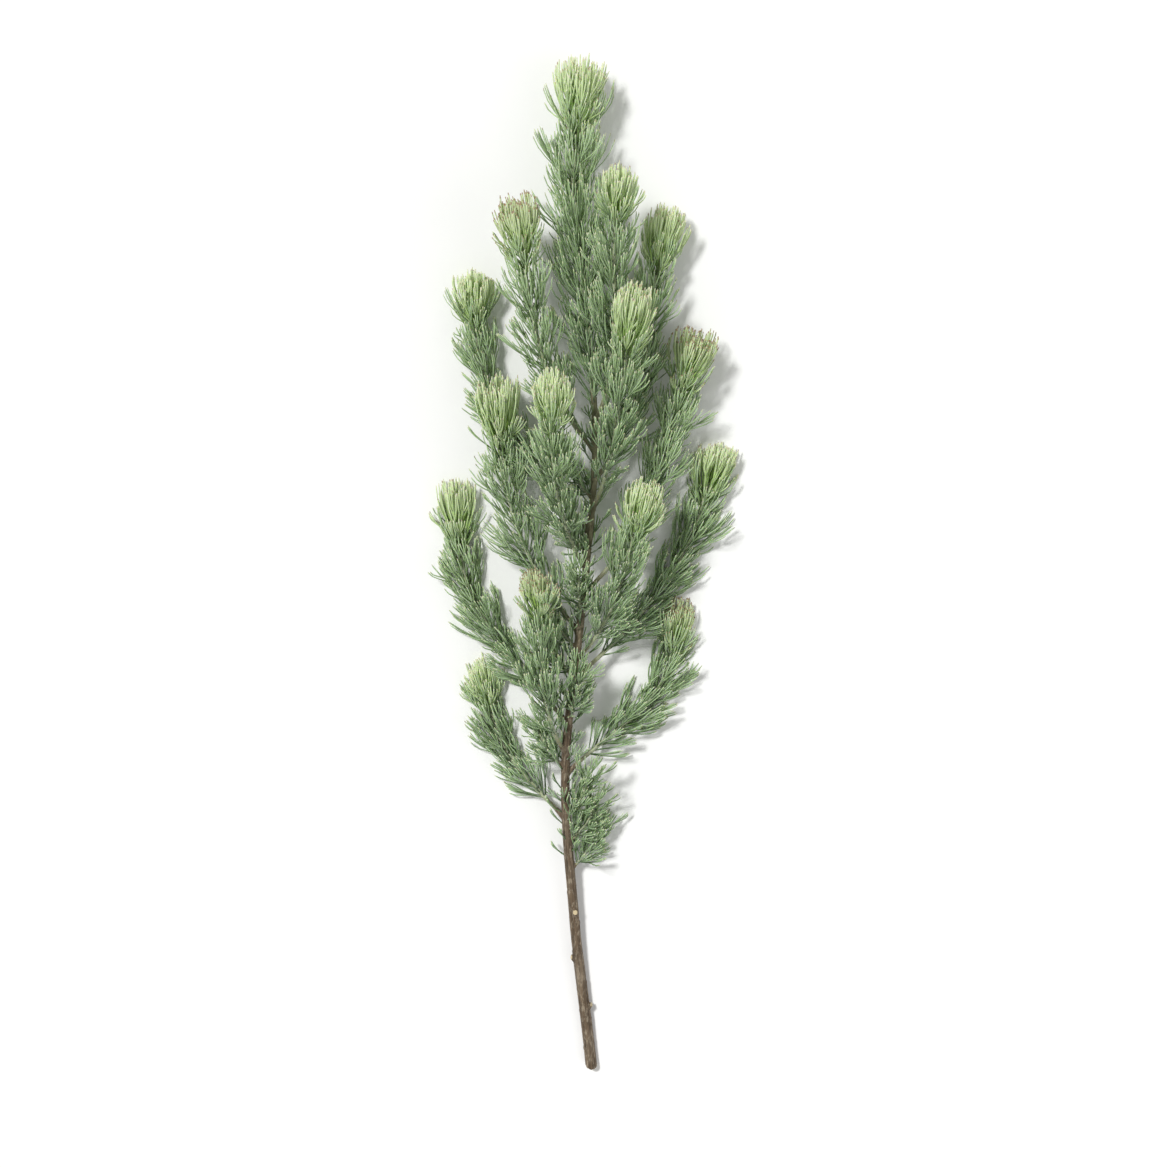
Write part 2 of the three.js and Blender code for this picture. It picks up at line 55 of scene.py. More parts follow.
MM = 0.001
UP = np.array([0.0, 0.0, 1.0])
FULL_TURN = 2 * math.pi
GOLDEN_ANGLE = math.radians(137.5)
BLACK, WHITE = (0, 0, 0), (1, 1, 1)

# The solid model's origin is the middle of the whole. Its axis was drawn from the middle of the cut end.
AXIS_ORIGIN = np.array([3.678, 350.571, 0.0])
MAIN_AXIS = [
    (9, 0, 3.5), (6, 28, 3.6), (-3, 110, 8), (-9, 220, 17), (2, 330, 26), (11, 440, 31),
    (5, 540, 32), (-3, 610, 29), (-1, 646, 27),
]

# Side shoots: where each leaves the main axis, where its twig ends, the size of its head
SIDE_SHOOTS = [
    (184, (-60, 256, 3.9), 0.95), (216, (63, 296, 4.1), 1.0), (252, (-80, 370, 4.5), 1.1),
    (284, (84, 400, 4.3), 1.05), (232, (-26, 328, 52), 0.9), (318, (-51, 440, 30), 1.2),
    (300, (36, 386, 58), 1.0), (346, (68, 476, 23), 1.15), (362, (-17, 456, 74), 1.1),
    (388, (-68, 520, 13), 1.0), (404, (31, 508, 69), 1.2), (424, (52, 558, 19), 1.05),
    (444, (-35, 566, 53), 1.15), (464, (24, 594, 60), 0.95),
]
SHOOT_LEAVES_AT = math.radians(44)
SHOOT_ENDS_AT = math.radians(9)
SHOOT_STIFFNESS = 0.36
LIES_BELOW = 10               # a shoot that ends lower than this lies flat at its end

# Spurs: where each leaves the main axis, and which bud of the spiral it grew from
SPURS = [
    (146, 0), (166, 8), (186, 16), (221, 30), (258.5, 45),
    (286, 56), (306, 64), (331, 74), (371, 90), (411, 106),
]
SPUR_REACH = (20, 30)
SPUR_ENDS_AT = math.radians(20)

# Stubs of stripped twigs, by their place and their turn round the stem
STUBS = [(42, math.radians(35)), (78, math.radians(160)), (112, math.radians(85))]
STUB_LENGTH = 3.5

# Collars of bark at the foot of what grows from the stem
COLLAR_COVERS = 1.3           # their hidden part, as a share of the stem's radius
SHOOT_COLLAR = 6.0
SPUR_COLLAR = 2.0


def number(name, about, value, **more):
    return bpy.props.FloatProperty(name=name, description=about, default=value, **more)


def whole_number(name, about, value):
    return bpy.props.IntProperty(name=name, description=about, default=value)


def colour(name, about, value):
    return bpy.props.FloatVectorProperty(
        name=name, description=about, size=3, min=0, max=1, subtype="COLOR_GAMMA", default=value)


class StemSizes(bpy.types.PropertyGroup):
    wood_ends: number("Wood ends", "How far up the main axis the bark reaches, in millimetres", 480)
    cut_radius: number("Radius at the cut", "Radius of the wood at its cut end, in millimetres", 4.1)
    top_radius: number("Radius at the top", "Radius where the bark ends, in millimetres", 2.0)
    taper: number("Taper", "1 tapers evenly, less than 1 tapers more near the cut", 0.9)
    cut_slant: number("Slant of the cut", "Angle of the cut end", math.radians(32), subtype="ANGLE")
    grain: number("Surface grain", "Size of the finest facets of the bark, in millimetres", 0.46)


class LeafSizes(bpy.types.PropertyGroup):
    thickness: number("Needle radius", "Radius of a leaf segment, in millimetres", 0.5)
    head_leaves: whole_number("Leaves in a head", "Number of young leaves in a head of size 1", 31)
    seed: whole_number("Seed", "Another number grows other leaves", 7)


class Colours(bpy.types.PropertyGroup):
    bark: colour("Bark", "Grey-brown bark of the lower stem", (0.45, 0.38, 0.30))
    bark_pale: colour("Pale bark", "Weathered streaks of the bark", (0.63, 0.58, 0.50))
    cut_wood: colour("Cut wood", "Wood at the cut end", (0.84, 0.77, 0.62))
    twig: colour("Twig", "Felted green twigs", (0.66, 0.70, 0.54))
    leaf: colour("Leaf", "Grown leaves", (0.32, 0.44, 0.26))
    # The pale leaf colours the upper part of grown leaves, and with white also the painted highlight of the
    # paler needles
    leaf_pale: colour("Pale leaf", "The silvery side of grown leaves", (0.61, 0.73, 0.53))
    young: colour("Young leaf", "Leaves at the heart of a head", (0.66, 0.81, 0.38))
    young_pale: colour("Young tips", "Upper part of the leaves in a head", (0.88, 0.94, 0.74))
    tip: colour("Leaf tips", "The tiny end of a leaf segment", (0.88, 0.88, 0.76))
    tip_brown: colour("Brown tips", "The tiny end of other leaf segments", (0.64, 0.54, 0.44))
    floor: colour("Floor", "The pale floor", (0.97, 0.97, 0.965))


# Curves, in millimetres until a mesh is made


SHOOT_SAMPLES = 160
FEWEST_SAMPLES = 12


class Line:
    """A smooth line sampled finely, with places along it given as distances."""

    def __init__(self, points):
        self.points = np.asarray(points, float)
        steps = np.linalg.norm(np.diff(self.points, axis=0), axis=1)
        self.along = np.concatenate([[0.0], np.cumsum(steps)])
        self.length = self.along[-1]
        self.frames()

    def frames(self):
        """Frames that turn as little as possible from one sample to the next"""
        self.tangents = np.gradient(self.points, axis=0)
        self.tangents /= np.linalg.norm(self.tangents, axis=1)[:, None]
        normal = UP
        self.normals = np.empty_like(self.points)
        for i, tangent in enumerate(self.tangents):
            normal = normal - tangent * (normal @ tangent)
            normal = normal / np.linalg.norm(normal)
            self.normals[i] = normal
        self.binormals = np.cross(self.tangents, self.normals)

    def _at(self, values, distances):
        return np.stack([np.interp(distances, self.along, values[:, k]) for k in range(3)], axis=-1)

    def point(self, distances):
        return self._at(self.points, distances)

    def frame(self, distances):
        return [self._at(values, distances) for values in (self.tangents, self.normals, self.binormals)]

    def part(self, start, end):
        return Line(self.point(np.linspace(start, end, max(FEWEST_SAMPLES, int(end - start)))))


def through(points, samples=60):
    """A Catmull-Rom line through points"""
    p = [np.array(q, float) for q in points]
    p = [2 * p[0] - p[1]] + p + [2 * p[-1] - p[-2]]
    t = np.linspace(0, 1, samples, endpoint=False)[:, None]
    pieces = []
    for a, b, c, d in zip(p, p[1:], p[2:], p[3:]):
        first, second = (c - a) / 2, (d - b) / 2
        pieces.append(b + first * t + (3 * (c - b) - 2 * first - second) * t ** 2
                      + (2 * (b - c) + first + second) * t ** 3)
    return Line(np.concatenate(pieces + [p[-2][None]]))


def bezier(ends, t):
    """Points of cubic curves. ends holds four points a curve, t any number of places on all of them."""
    t = np.asarray(t, float)[:, None]
    a, b, c, d = (ends[..., k, None, :] for k in range(4))
    return a * (1 - t) ** 3 + 3 * b * t * (1 - t) ** 2 + 3 * c * t ** 2 * (1 - t) + d * t ** 3


def unit(v):
    return v / np.maximum(np.linalg.norm(v, axis=-1, keepdims=True), 1e-9)


def square_to(axis, v):
    return unit(v - axis * np.sum(axis * v, axis=-1, keepdims=True))


def turned(first, second, angle):
    """The first way, turned by an angle towards a second one that is square to it"""
    return first * math.cos(angle) + second * math.sin(angle)


def either_way(rng, most):
    return rng.uniform(-most, most)


MAIN = through([np.array(p) - AXIS_ORIGIN for p in MAIN_AXIS])


def shoot_line(leaves, end, ends_at):
    """A shoot leaves the main axis at an angle, then turns to run nearly along it"""
    root = MAIN.point(leaves)
    along = MAIN.frame(leaves)[0]
    chord = end - root
    outward = square_to(along, chord)
    final = turned(along, outward, ends_at)
    if end[2] < LIES_BELOW:
        final = unit(final * (1, 1, 0))
    reach = SHOOT_STIFFNESS * np.linalg.norm(chord)
    first = turned(along, outward, SHOOT_LEAVES_AT)
    ends = np.array([root, root + first * reach, end - final * reach, end])
    return Line(bezier(ends, np.linspace(0, 1, SHOOT_SAMPLES)))


def spur_line(leaves, angle):
    out, along = SPUR_REACH
    end = MAIN.point(leaves) + np.array([out * math.cos(angle), along, out * math.sin(angle)])
    return shoot_line(leaves, end, SPUR_ENDS_AT)


def stem_radius(along):
    sizes = bpy.context.scene.stem_sizes
    share = np.clip(along / sizes.wood_ends, 0, 1) ** sizes.taper
    return sizes.cut_radius + (sizes.top_radius - sizes.cut_radius) * share


def collar_end(leaves, shows):
    """Where on its own line a collar ends, when this much of it shows"""
    return stem_radius(leaves) * COLLAR_COVERS + shows


def side_lines():
    """Each side shoot's line, where on it the green twig starts, and the size of its head"""
    rows = []
    for leaves, end, size in SIDE_SHOOTS:
        line = shoot_line(leaves, np.array(end) - AXIS_ORIGIN, SHOOT_ENDS_AT)
        rows.append((line, collar_end(leaves, SHOOT_COLLAR), size))
    return rows


def spur_lines():
    """Each spur's line, and where on it the green twig starts"""
    return [(spur_line(leaves, bud * GOLDEN_ANGLE), collar_end(leaves, SPUR_COLLAR)) for leaves, bud in SPURS]


# Modelling by hand


def deselect():
    if bpy.context.object and bpy.context.object.mode != "OBJECT":
        bpy.ops.object.mode_set(mode="OBJECT")
    bpy.ops.object.select_all(action="DESELECT")


def pick(*shapes):
    """Selects these shapes alone, with the first one active"""
    deselect()
    for shape in shapes:
        shape.select_set(True)
    bpy.context.view_layer.objects.active = shapes[0]


def open_for_edit(shape, kind):
    """Edit mode with nothing selected. kind is the kind of element that will be."""
    bpy.ops.object.mode_set(mode="EDIT")
    bpy.ops.mesh.select_mode(type=kind)
    bpy.ops.mesh.select_all(action="DESELECT")
    return bmesh.from_edit_mesh(shape.data)


def scale_top(share):
    bpy.ops.transform.resize(value=(share, share, 1), center_override=(0, 0, 0))


def stacked(name, sides, profile):
    """A closed round shape along Z: a short cylinder whose top face is extruded from ring to ring.
    The profile holds (height, radius) rows."""
    deselect()
    (low, first), (high, second) = profile[:2]
    bpy.ops.mesh.primitive_cylinder_add(
        vertices=sides, radius=first, depth=high - low, location=(0, 0, (low + high) / 2))
    shape = bpy.context.object
    shape.name = name
    mesh = open_for_edit(shape, "FACE")
    mesh.faces.ensure_lookup_table()
    top = max(mesh.faces, key=lambda face: face.calc_center_median().z)
    top.select_set(True)
    bmesh.update_edit_mesh(shape.data)
    scale_top(second / first)
    radius = second
    for (before, _), (height, wide) in zip(profile[1:], profile[2:]):
        bpy.ops.mesh.extrude_region_move(TRANSFORM_OT_translate={"value": (0, 0, height - before)})
        scale_top(wide / radius)
        radius = wide
    bpy.ops.object.mode_set(mode="OBJECT")
    bpy.ops.object.transform_apply(location=True, rotation=True, scale=True)
    return shape


# A leaf segment and a hair, of length 1 and radius 1. The segment is full from its foot to its blunt tip.
NEEDLE_PROFILE = [(0, 0.75), (0.2, 1.0), (0.46, 0.97), (0.72, 0.92), (0.95, 0.86), (1, 0.45)]
HAIR_PROFILE = [(0, 1), (1, 0.3)]
NEEDLE_SIDES = 4


def pattern(name, profile):
    """A modelled shape as arrays of points and four-cornered faces, and its object removed"""
    shape = stacked(name, NEEDLE_SIDES, profile)
    points = np.array([v.co for v in shape.data.vertices])
    faces = np.array([list(p.vertices) for p in shape.data.polygons])
    bpy.data.objects.remove(shape)
    return points, faces


# Leaves


class Segments:
    """Leaf segments as rows of arrays: four points of a cubic curve, radius, how much thicker the foot is,
    where on the leaf the segment starts, tone."""

    def __init__(self):
        self.rows = []

    def add(self, ends, radius, foot, start, tone):
        self.rows.append((ends, radius, foot, start, tone))

    def arrays(self):
        return [np.array([row[k] for row in self.rows]) for k in range(5)]


# How a leaf forks. Places and lengths are shares of the leaf, and widths are shares of its fan.
FOOT_SWELLS = 0.3             # how much thicker a leaf is at its foot
SECOND_FORK = (0.12, 0.24)    # how far past the first fork the second one lies
FORK_SHIFT = 0.04             # how much earlier or later one side parts
# The two pairs of side segments: how wide they part, how short they may end, what share of them is missing
PAIRS = ({"wide": 1.0, "short": 0.192, "missing": 0}, {"wide": 0.55, "short": 0.112, "missing": 0.25})
FAN_VARIES = (0.75, 1.2)
OFF_THE_FAN = 0.28            # how far tips lie before or behind the fan
LOOKS_AHEAD = 0.05
PARTS_BY = 0.012              # how sharply a side segment parts from the middle one
PARTING_REACH, TIP_REACH = 0.36, 0.34
TIP_TURNS = (-0.05, 0.16)
SIDE_GIRTH = (0.82, 0.95)
SIDE_TONE = 0.05


def grow_leaf(segments, rng, spine, across, twist, fan, forks, tone, radius):
    """Forks a leaf: a middle segment along the spine, and pairs of side segments that part from it
    at forks and run on beside it. spine holds four points, fan is the leaf's width at its tips, and
    it lies across, turned by the twist."""
    segments.add(spine, radius, FOOT_SWELLS, 0.0, tone)
    length = np.linalg.norm(spine[3] - spine[0])
    face = unit(np.cross(across, unit(spine[3] - spine[0])))
    across, face = turned(across, face, twist), turned(face, across, -twist)
    end_way = unit(spine[3] - spine[2])
    first_fork = rng.uniform(*forks)
    for pair, fork in zip(PAIRS, (first_fork, first_fork + rng.uniform(*SECOND_FORK))):
        for aside in (-across, across):
            if pair["missing"] and rng.random() < pair["missing"]:
                continue
            at = fork + either_way(rng, FORK_SHIFT)
            start, ahead = bezier(spine, [at, at + LOOKS_AHEAD])
            width = fan * pair["wide"] * rng.uniform(*FAN_VARIES)
            tip = spine[3] + aside * width + face * either_way(rng, OFF_THE_FAN) * fan
            tip = tip - end_way * length * rng.uniform(0, pair["short"])
            reach = np.linalg.norm(tip - start)
            first = start + unit(ahead - start + aside * PARTS_BY * length) * reach * PARTING_REACH
            last = tip - unit(end_way - aside * rng.uniform(*TIP_TURNS)) * reach * TIP_REACH
            ends = np.array([start, first, last, tip])
            girth = radius * rng.uniform(*SIDE_GIRTH)
            segments.add(ends, girth, 0.0, at, tone + either_way(rng, SIDE_TONE))


# Leaves grow longer and shorter by turns up a twig, in flushes. Lengths in millimetres, angles in degrees.
FLUSH_PITCH, FLUSH_VARIES = 36, (0.85, 1.2)
FLUSH_WAIST = 13              # the first short leaves are this far below the twig's end
FLUSH_CROWDING = 0.45         # how much closer together the long leaves are
FLUSH_LENGTH, FLUSH_SPREAD, FLUSH_TIP_SPREAD = 0.16, 7, 3

# The lowest part of a twig, as a share, has shorter leaves whose tips spread more
LOW_PART, LOW_SHORTER, LOW_TIP_SPREAD = 0.3, 0.2, 10

ODD_LEAVES, ODD_CURL, ODD_SWAY = 0.07, (-38, 28), 3    # share of leaves that curl out of line, and how far
GROWN_BEND, GROWN_REST, GROWN_TIP = 0.3, 0.68, 0.3     # root to bend, bend to tip, the tip's own reach
GROWN_SINKS_TO, HAIR_SINKS_TO = 0.75, 0.85             # where they start, as shares of the twig's radius
GROWN_FORKS = (0.2, 0.5)
GROWN_VARIES = {
    "turn": 0.25, "length": (0.8, 1.1), "spread": (-12, 10), "tip_spread": 11, "sway": 0.1,
    "tip_turn": (4, 22), "twist": 0.7, "tone": 0.12, "fan": (0.8, 1.25),
}


def twig_leaves(segments, rng, line, start, shape, twig_radius):
    """Leaves in a spiral up a twig"""
    sizes, vary = bpy.context.scene.leaf_sizes, GROWN_VARIES
    span = line.length - start
    count = int(span / shape["spacing"])
    oldest, youngest = shape["tone"]
    turn = rng.uniform(0, FULL_TURN)
    pitch = FLUSH_PITCH * rng.uniform(*FLUSH_VARIES)
    for i in range(count):
        share = (i + 0.5) / count
        low = 1 - min(1, share / LOW_PART)
        at = start + span * share
        phase = (line.length - at - FLUSH_WAIST) / pitch * FULL_TURN
        flush = -math.cos(phase)
        at = max(start, at - FLUSH_CROWDING * pitch / FULL_TURN * math.sin(phase))
        tangent, normal, binormal = line.frame(at)
        outward = turned(normal, binormal, turn + i * GOLDEN_ANGLE + either_way(rng, vary["turn"]))
        across = np.cross(tangent, outward)
        root = line.point(at) + outward * twig_radius * GROWN_SINKS_TO
        length = shape["length"] * rng.uniform(*vary["length"])
        length *= (1 - LOW_SHORTER * low) * (1 + FLUSH_LENGTH * flush)
        odd = rng.random() < ODD_LEAVES
        first = shape["spread"] + rng.uniform(*vary["spread"]) + FLUSH_SPREAD * flush
        last = shape["tip_spread"] + either_way(rng, vary["tip_spread"]) + FLUSH_TIP_SPREAD * flush
        last += LOW_TIP_SPREAD * low + odd * rng.uniform(*ODD_CURL)
        sway = across * either_way(rng, vary["sway"]) * (1 + ODD_SWAY * odd) * length
        bend = root + turned(tangent, outward, math.radians(first)) * length * GROWN_BEND
        tip = bend + turned(tangent, outward, math.radians(last)) * length * GROWN_REST + sway
        tip_way = turned(tangent, outward, math.radians(last - rng.uniform(*vary["tip_turn"])))
        spine = np.array([root, bend, tip - tip_way * length * GROWN_TIP, tip])
        twist = either_way(rng, vary["twist"])
        tone = oldest + (youngest - oldest) * share + either_way(rng, vary["tone"])
        fan = shape["fan"] * rng.uniform(*vary["fan"]) * length / shape["length"]
        grow_leaf(segments, rng, spine, across, twist, fan, GROWN_FORKS, tone, sizes.thickness)


HAIR_DENSITY = 6                          # hairs a millimetre of twig
HAIR_MARGIN = 0.5                         # none grow this close to the twig's ends
HAIR_LENGTH, HAIR_RADIUS = (1.0, 2.2), 0.045
HAIR_LEAN, HAIR_CURL = (0.5, 1.2), 0.4    # in radians
HAIR_SHADE, HAIR_TONE = 0.75, (0.2, 1)    # hairs take the colours of this part of a leaf and above


def felt(segments, rng, line, start, radii):
    """Short pale hairs that lean up a twig"""
    count = int((line.length - start) * HAIR_DENSITY)
    for at in rng.uniform(start + HAIR_MARGIN, line.length - HAIR_MARGIN, count):
        tangent, normal, binormal = line.frame(at)
        outward = turned(normal, binormal, rng.uniform(0, FULL_TURN))
        radius = np.interp(at, [start, line.length], radii)
        root = line.point(at) + outward * radius * HAIR_SINKS_TO
        lean = rng.uniform(*HAIR_LEAN)
        step = turned(tangent, outward, lean) * rng.uniform(*HAIR_LENGTH) / 3
        turn = turned(tangent, outward, lean - HAIR_CURL) * np.linalg.norm(step)
        ends = np.array([root, root + step, root + step + turn, root + step + turn * 2])
        segments.add(ends, HAIR_RADIUS, 0.0, HAIR_SHADE, rng.uniform(*HAIR_TONE))


# In a head, inner leaves start higher up its short twig than outer ones. Lengths in millimetres, angles in
# degrees. Places between the heart and the edge of a head are shares.
CROWD_GROWS = 1.5             # how fast the number of leaves grows with a head's size
ROOTS_FALL = 0.8              # how the roots come down from the heart to the edge
ROOT_OUT = 1.2
DOME_POWER = 2.2
HEART_OPENS = 5
RIM = 0.6                     # from here outwards leaves twist less, and some flare
FLARING = 0.22
FLARE = (0.9, 1.18, 16)       # how much lower and wider a flaring leaf ends, and how far its tip turns out
EDGE_OLDER, OLDEST_TONE = 0.5, 0.1
YOUNG_FORKS = (0.24, 0.42)
YOUNG_GIRTH = 1.1
YOUNG_FOOT, YOUNG_TIP = 0.45, 0.3         # reach of the foot and of the tip, as shares of the leaf
YOUNG_VARIES = {
    "turn": 0.2, "root": (0.8, 1.15), "root_shift": (-2, 3), "height": (0.82, 1.05), "width": (0.86, 1.1),
    "opening": 6, "closing": 8, "heart_twist": 1.2, "rim_twist": 0.5, "tone": 0.1,
}


def head_leaves(segments, rng, base, way, size, shape):
    """A young head: leaves from a short stretch of twig, which open as a goblet and close at the top"""
    sizes, vary = bpy.context.scene.leaf_sizes, YOUNG_VARIES
    side = square_to(way, UP if abs(way[2]) < 0.9 else np.array([1.0, 0, 0]))
    other = np.cross(way, side)
    count = int(sizes.head_leaves * shape["crowd"] * size ** CROWD_GROWS)
    for i in range(count):
        out = math.sqrt((i + 0.5) / count)
        radial = turned(side, other, i * GOLDEN_ANGLE + either_way(rng, vary["turn"]))
        root_height = shape["foot"] * size * (1 - out) ** ROOTS_FALL * rng.uniform(*vary["root"])
        root = base + way * (root_height + rng.uniform(*vary["root_shift"])) + radial * ROOT_OUT
        flares = out > RIM and rng.random() < FLARING
        lower, wider, tip_turn = FLARE if flares else (1, 1, 0)
        tip_height = shape["height"] * size * (1 - shape["dome"] * out ** DOME_POWER)
        tip_height *= rng.uniform(*vary["height"]) * lower
        tip_out = shape["width"] * size * out * rng.uniform(*vary["width"]) * wider
        tip = base + way * tip_height + radial * tip_out
        length = np.linalg.norm(tip - root)
        opens = HEART_OPENS + shape["opening"] * out + either_way(rng, vary["opening"])
        closes = -shape["closing"] * out + either_way(rng, vary["closing"]) + tip_turn
        first = root + turned(way, radial, math.radians(opens)) * length * YOUNG_FOOT
        last = tip - turned(way, radial, math.radians(closes)) * length * YOUNG_TIP
        twist = either_way(rng, vary["heart_twist"] if out < RIM else vary["rim_twist"])
        tone = np.clip(1 - EDGE_OLDER * out ** 2 + either_way(rng, vary["tone"]), OLDEST_TONE, 1)
        grow_leaf(segments, rng, np.array([root, first, last, tip]), np.cross(way, radial), twist,
                  shape["fan"] * size, YOUNG_FORKS, tone, sizes.thickness * YOUNG_GIRTH)


# Meshes from many copies of a pattern


class Heap:
    """Points, four-cornered faces and places on the colour map, gathered for one mesh"""

    def __init__(self):
        self.points, self.faces, self.places = [], [], []
        self.count = 0

    def add(self, points, faces, places):
        self.points.append(points.reshape(-1, 3))
        self.faces.append(faces.reshape(-1, 4) + self.count)
        self.places.append(places.reshape(-1, 2))
        self.count += len(self.points[-1])

    def mesh(self, name):
        points = np.concatenate(self.points) * MM
        faces = np.concatenate(self.faces)
        places = np.concatenate(self.places)
        mesh = bpy.data.meshes.new(name)
        mesh.vertices.add(len(points))
        mesh.vertices.foreach_set("co", points.astype(np.float32).ravel())
        mesh.loops.add(faces.size)
        mesh.loops.foreach_set("vertex_index", faces.astype(np.int32).ravel())
        mesh.polygons.add(len(faces))
        mesh.polygons.foreach_set("loop_start", np.arange(0, faces.size, 4, dtype=np.int32))
        mesh.update(calc_edges=True)
        mesh.polygons.foreach_set("use_smooth", np.ones(len(faces), bool))
        layer = mesh.uv_layers.new(name=COLOUR_MAP)
        layer.data.foreach_set("uv", places[faces.ravel()].astype(np.float32).ravel())
        mesh.validate()
        return mesh


COLOUR_MAP = "OFBake"
TWIG_BAND = 0.08              # the lower part of the colour map belongs to the twigs, the rest to the leaves
LEAF_BAND = (TWIG_BAND + 0.02, 0.97 - TWIG_BAND)    # where the leaves' tones start on it, and their width
LEAF_MARGIN, TWIG_MARGIN = 0.004, 0.01    # left free at both ends of the map, along it
TWIG_ROUND, TWIG_EDGE = 0.8, 0.005        # the share of their band that twigs take up, and where it starts
FOOT_ENDS = 0.45              # the thicker foot of a leaf ends here
LIES_ABOVE = (0.05, 0.9)      # how far over the surface low leaves lie, one a little above another


def clear_of_floor(points, radius, rng):
    """Points below the surface come up to lie on it"""
    rest = radius + rng.uniform(*LIES_ABOVE, len(points))[:, None]
    points[..., 2] = np.maximum(points[..., 2], rest)
    return points


def add_needles(heap, segments, needle, rng):
    """Bends a copy of the needle along each segment's curve"""
    points, faces = needle
    ends, radius, foot, start, tone = segments.arrays()
    heights, index = np.unique(points[:, 2].round(5), return_inverse=True)
    middle = clear_of_floor(bezier(ends, heights), radius[:, None], rng)
    tangents = unit(np.gradient(middle, axis=1))
    reference = unit(np.stack([rng.normal(size=len(ends)) for _ in range(3)], axis=1))[:, None, :]
    normals = square_to(tangents, np.broadcast_to(reference, tangents.shape))
    binormals = np.cross(tangents, normals)
    x, y, z = (points[:, k][None, :] for k in range(3))
    thick = radius[:, None] * (1 + foot[:, None] * np.clip(1 - z / FOOT_ENDS, 0, 1))
    offset = normals[:, index] * x[..., None] + binormals[:, index] * y[..., None]
    placed = middle[:, index] + offset * thick[..., None]
    along = start[:, None] + (1 - start[:, None]) * z
    band = LEAF_BAND[0] + LEAF_BAND[1] * np.clip(tone, 0, 1)
    places = np.stack(
        np.broadcast_arrays(np.clip(along, LEAF_MARGIN, 1 - LEAF_MARGIN), band[:, None]), axis=-1)
    counted_on = (np.arange(len(ends)) * len(points))[:, None, None]
    heap.add(placed, faces[None] + counted_on, places)


TWIG_RINGS = 1.2              # millimetres from ring to ring
TWIG_KNOBS = (-0.07, 0.12)
TWIG_CLOSES, TWIG_TIP = 0.8, 0.35         # an end is rounded over this length, to the root of this share
TWIG_LOWEST = 0.1


def add_twig(heap, line, start, radii, rng, sides=8):
    """A felted twig, slightly knobbly where leaves leave it: rings along the line, and a cap of
    four-cornered faces at both ends"""
    part = line.part(start, line.length)
    along = np.linspace(0, part.length, max(3, int(part.length / TWIG_RINGS)))
    _, normal, binormal = part.frame(along)
    angles = np.arange(sides) * FULL_TURN / sides
    ring = normal[:, None] * np.cos(angles)[None, :, None] + binormal[:, None] * np.sin(angles)[None, :, None]
    knobs = 1 + rng.uniform(*TWIG_KNOBS, (len(along), sides))
    closing = np.clip(np.minimum(along, part.length - along) / TWIG_CLOSES, TWIG_TIP, 1) ** 0.5
    wide = np.interp(along, [0, part.length], radii) * closing
    points = part.point(along)[:, None] + ring * wide[:, None, None] * knobs[..., None]
    points[..., 2] = np.maximum(points[..., 2], TWIG_LOWEST)
    rows, next_side = np.arange(len(along) - 1)[:, None], (np.arange(sides) + 1) % sides
    here = rows * sides + np.arange(sides)
    there = rows * sides + next_side
    walls = np.stack([here, there, there + sides, here + sides], axis=-1)
    last = (len(along) - 1) * sides
    caps = []
    for k in range(1, sides - 2, 2):
        caps.append([0, k + 2, k + 1, k])
        caps.append([last, last + k, last + k + 1, last + k + 2])
    up_map = along / part.length * (1 - 2 * TWIG_MARGIN) + TWIG_MARGIN
    round_map = np.arange(sides) / sides * TWIG_BAND * TWIG_ROUND + TWIG_EDGE
    places = np.stack(np.broadcast_arrays(up_map[:, None], round_map[None]), axis=-1)
    heap.add(points, np.concatenate([walls.reshape(-1, 4), np.array(caps)]), places)


# Materials


class Value:
    """A number that varies over a surface. Its operators add Math nodes."""

    def __init__(self, shader, socket):
        self.shader, self.socket = shader, socket

    def _math(self, operation, first, second):
        return self.shader.node("ShaderNodeMath", {"operation": operation}, {0: first, 1: second})

    def __add__(self, other):
        return self._math("ADD", self, other)

    def __radd__(self, other):
        return self._math("ADD", other, self)

    def __sub__(self, other):
        return self._math("SUBTRACT", self, other)

    def __rsub__(self, other):
        return self._math("SUBTRACT", other, self)

    def __mul__(self, other):
        return self._math("MULTIPLY", self, other)

    def __rmul__(self, other):
        return self._math("MULTIPLY", other, self)

    def __lt__(self, other):
        return self._math("LESS_THAN", self, other)

    def __gt__(self, other):
        return self._math("GREATER_THAN", self, other)


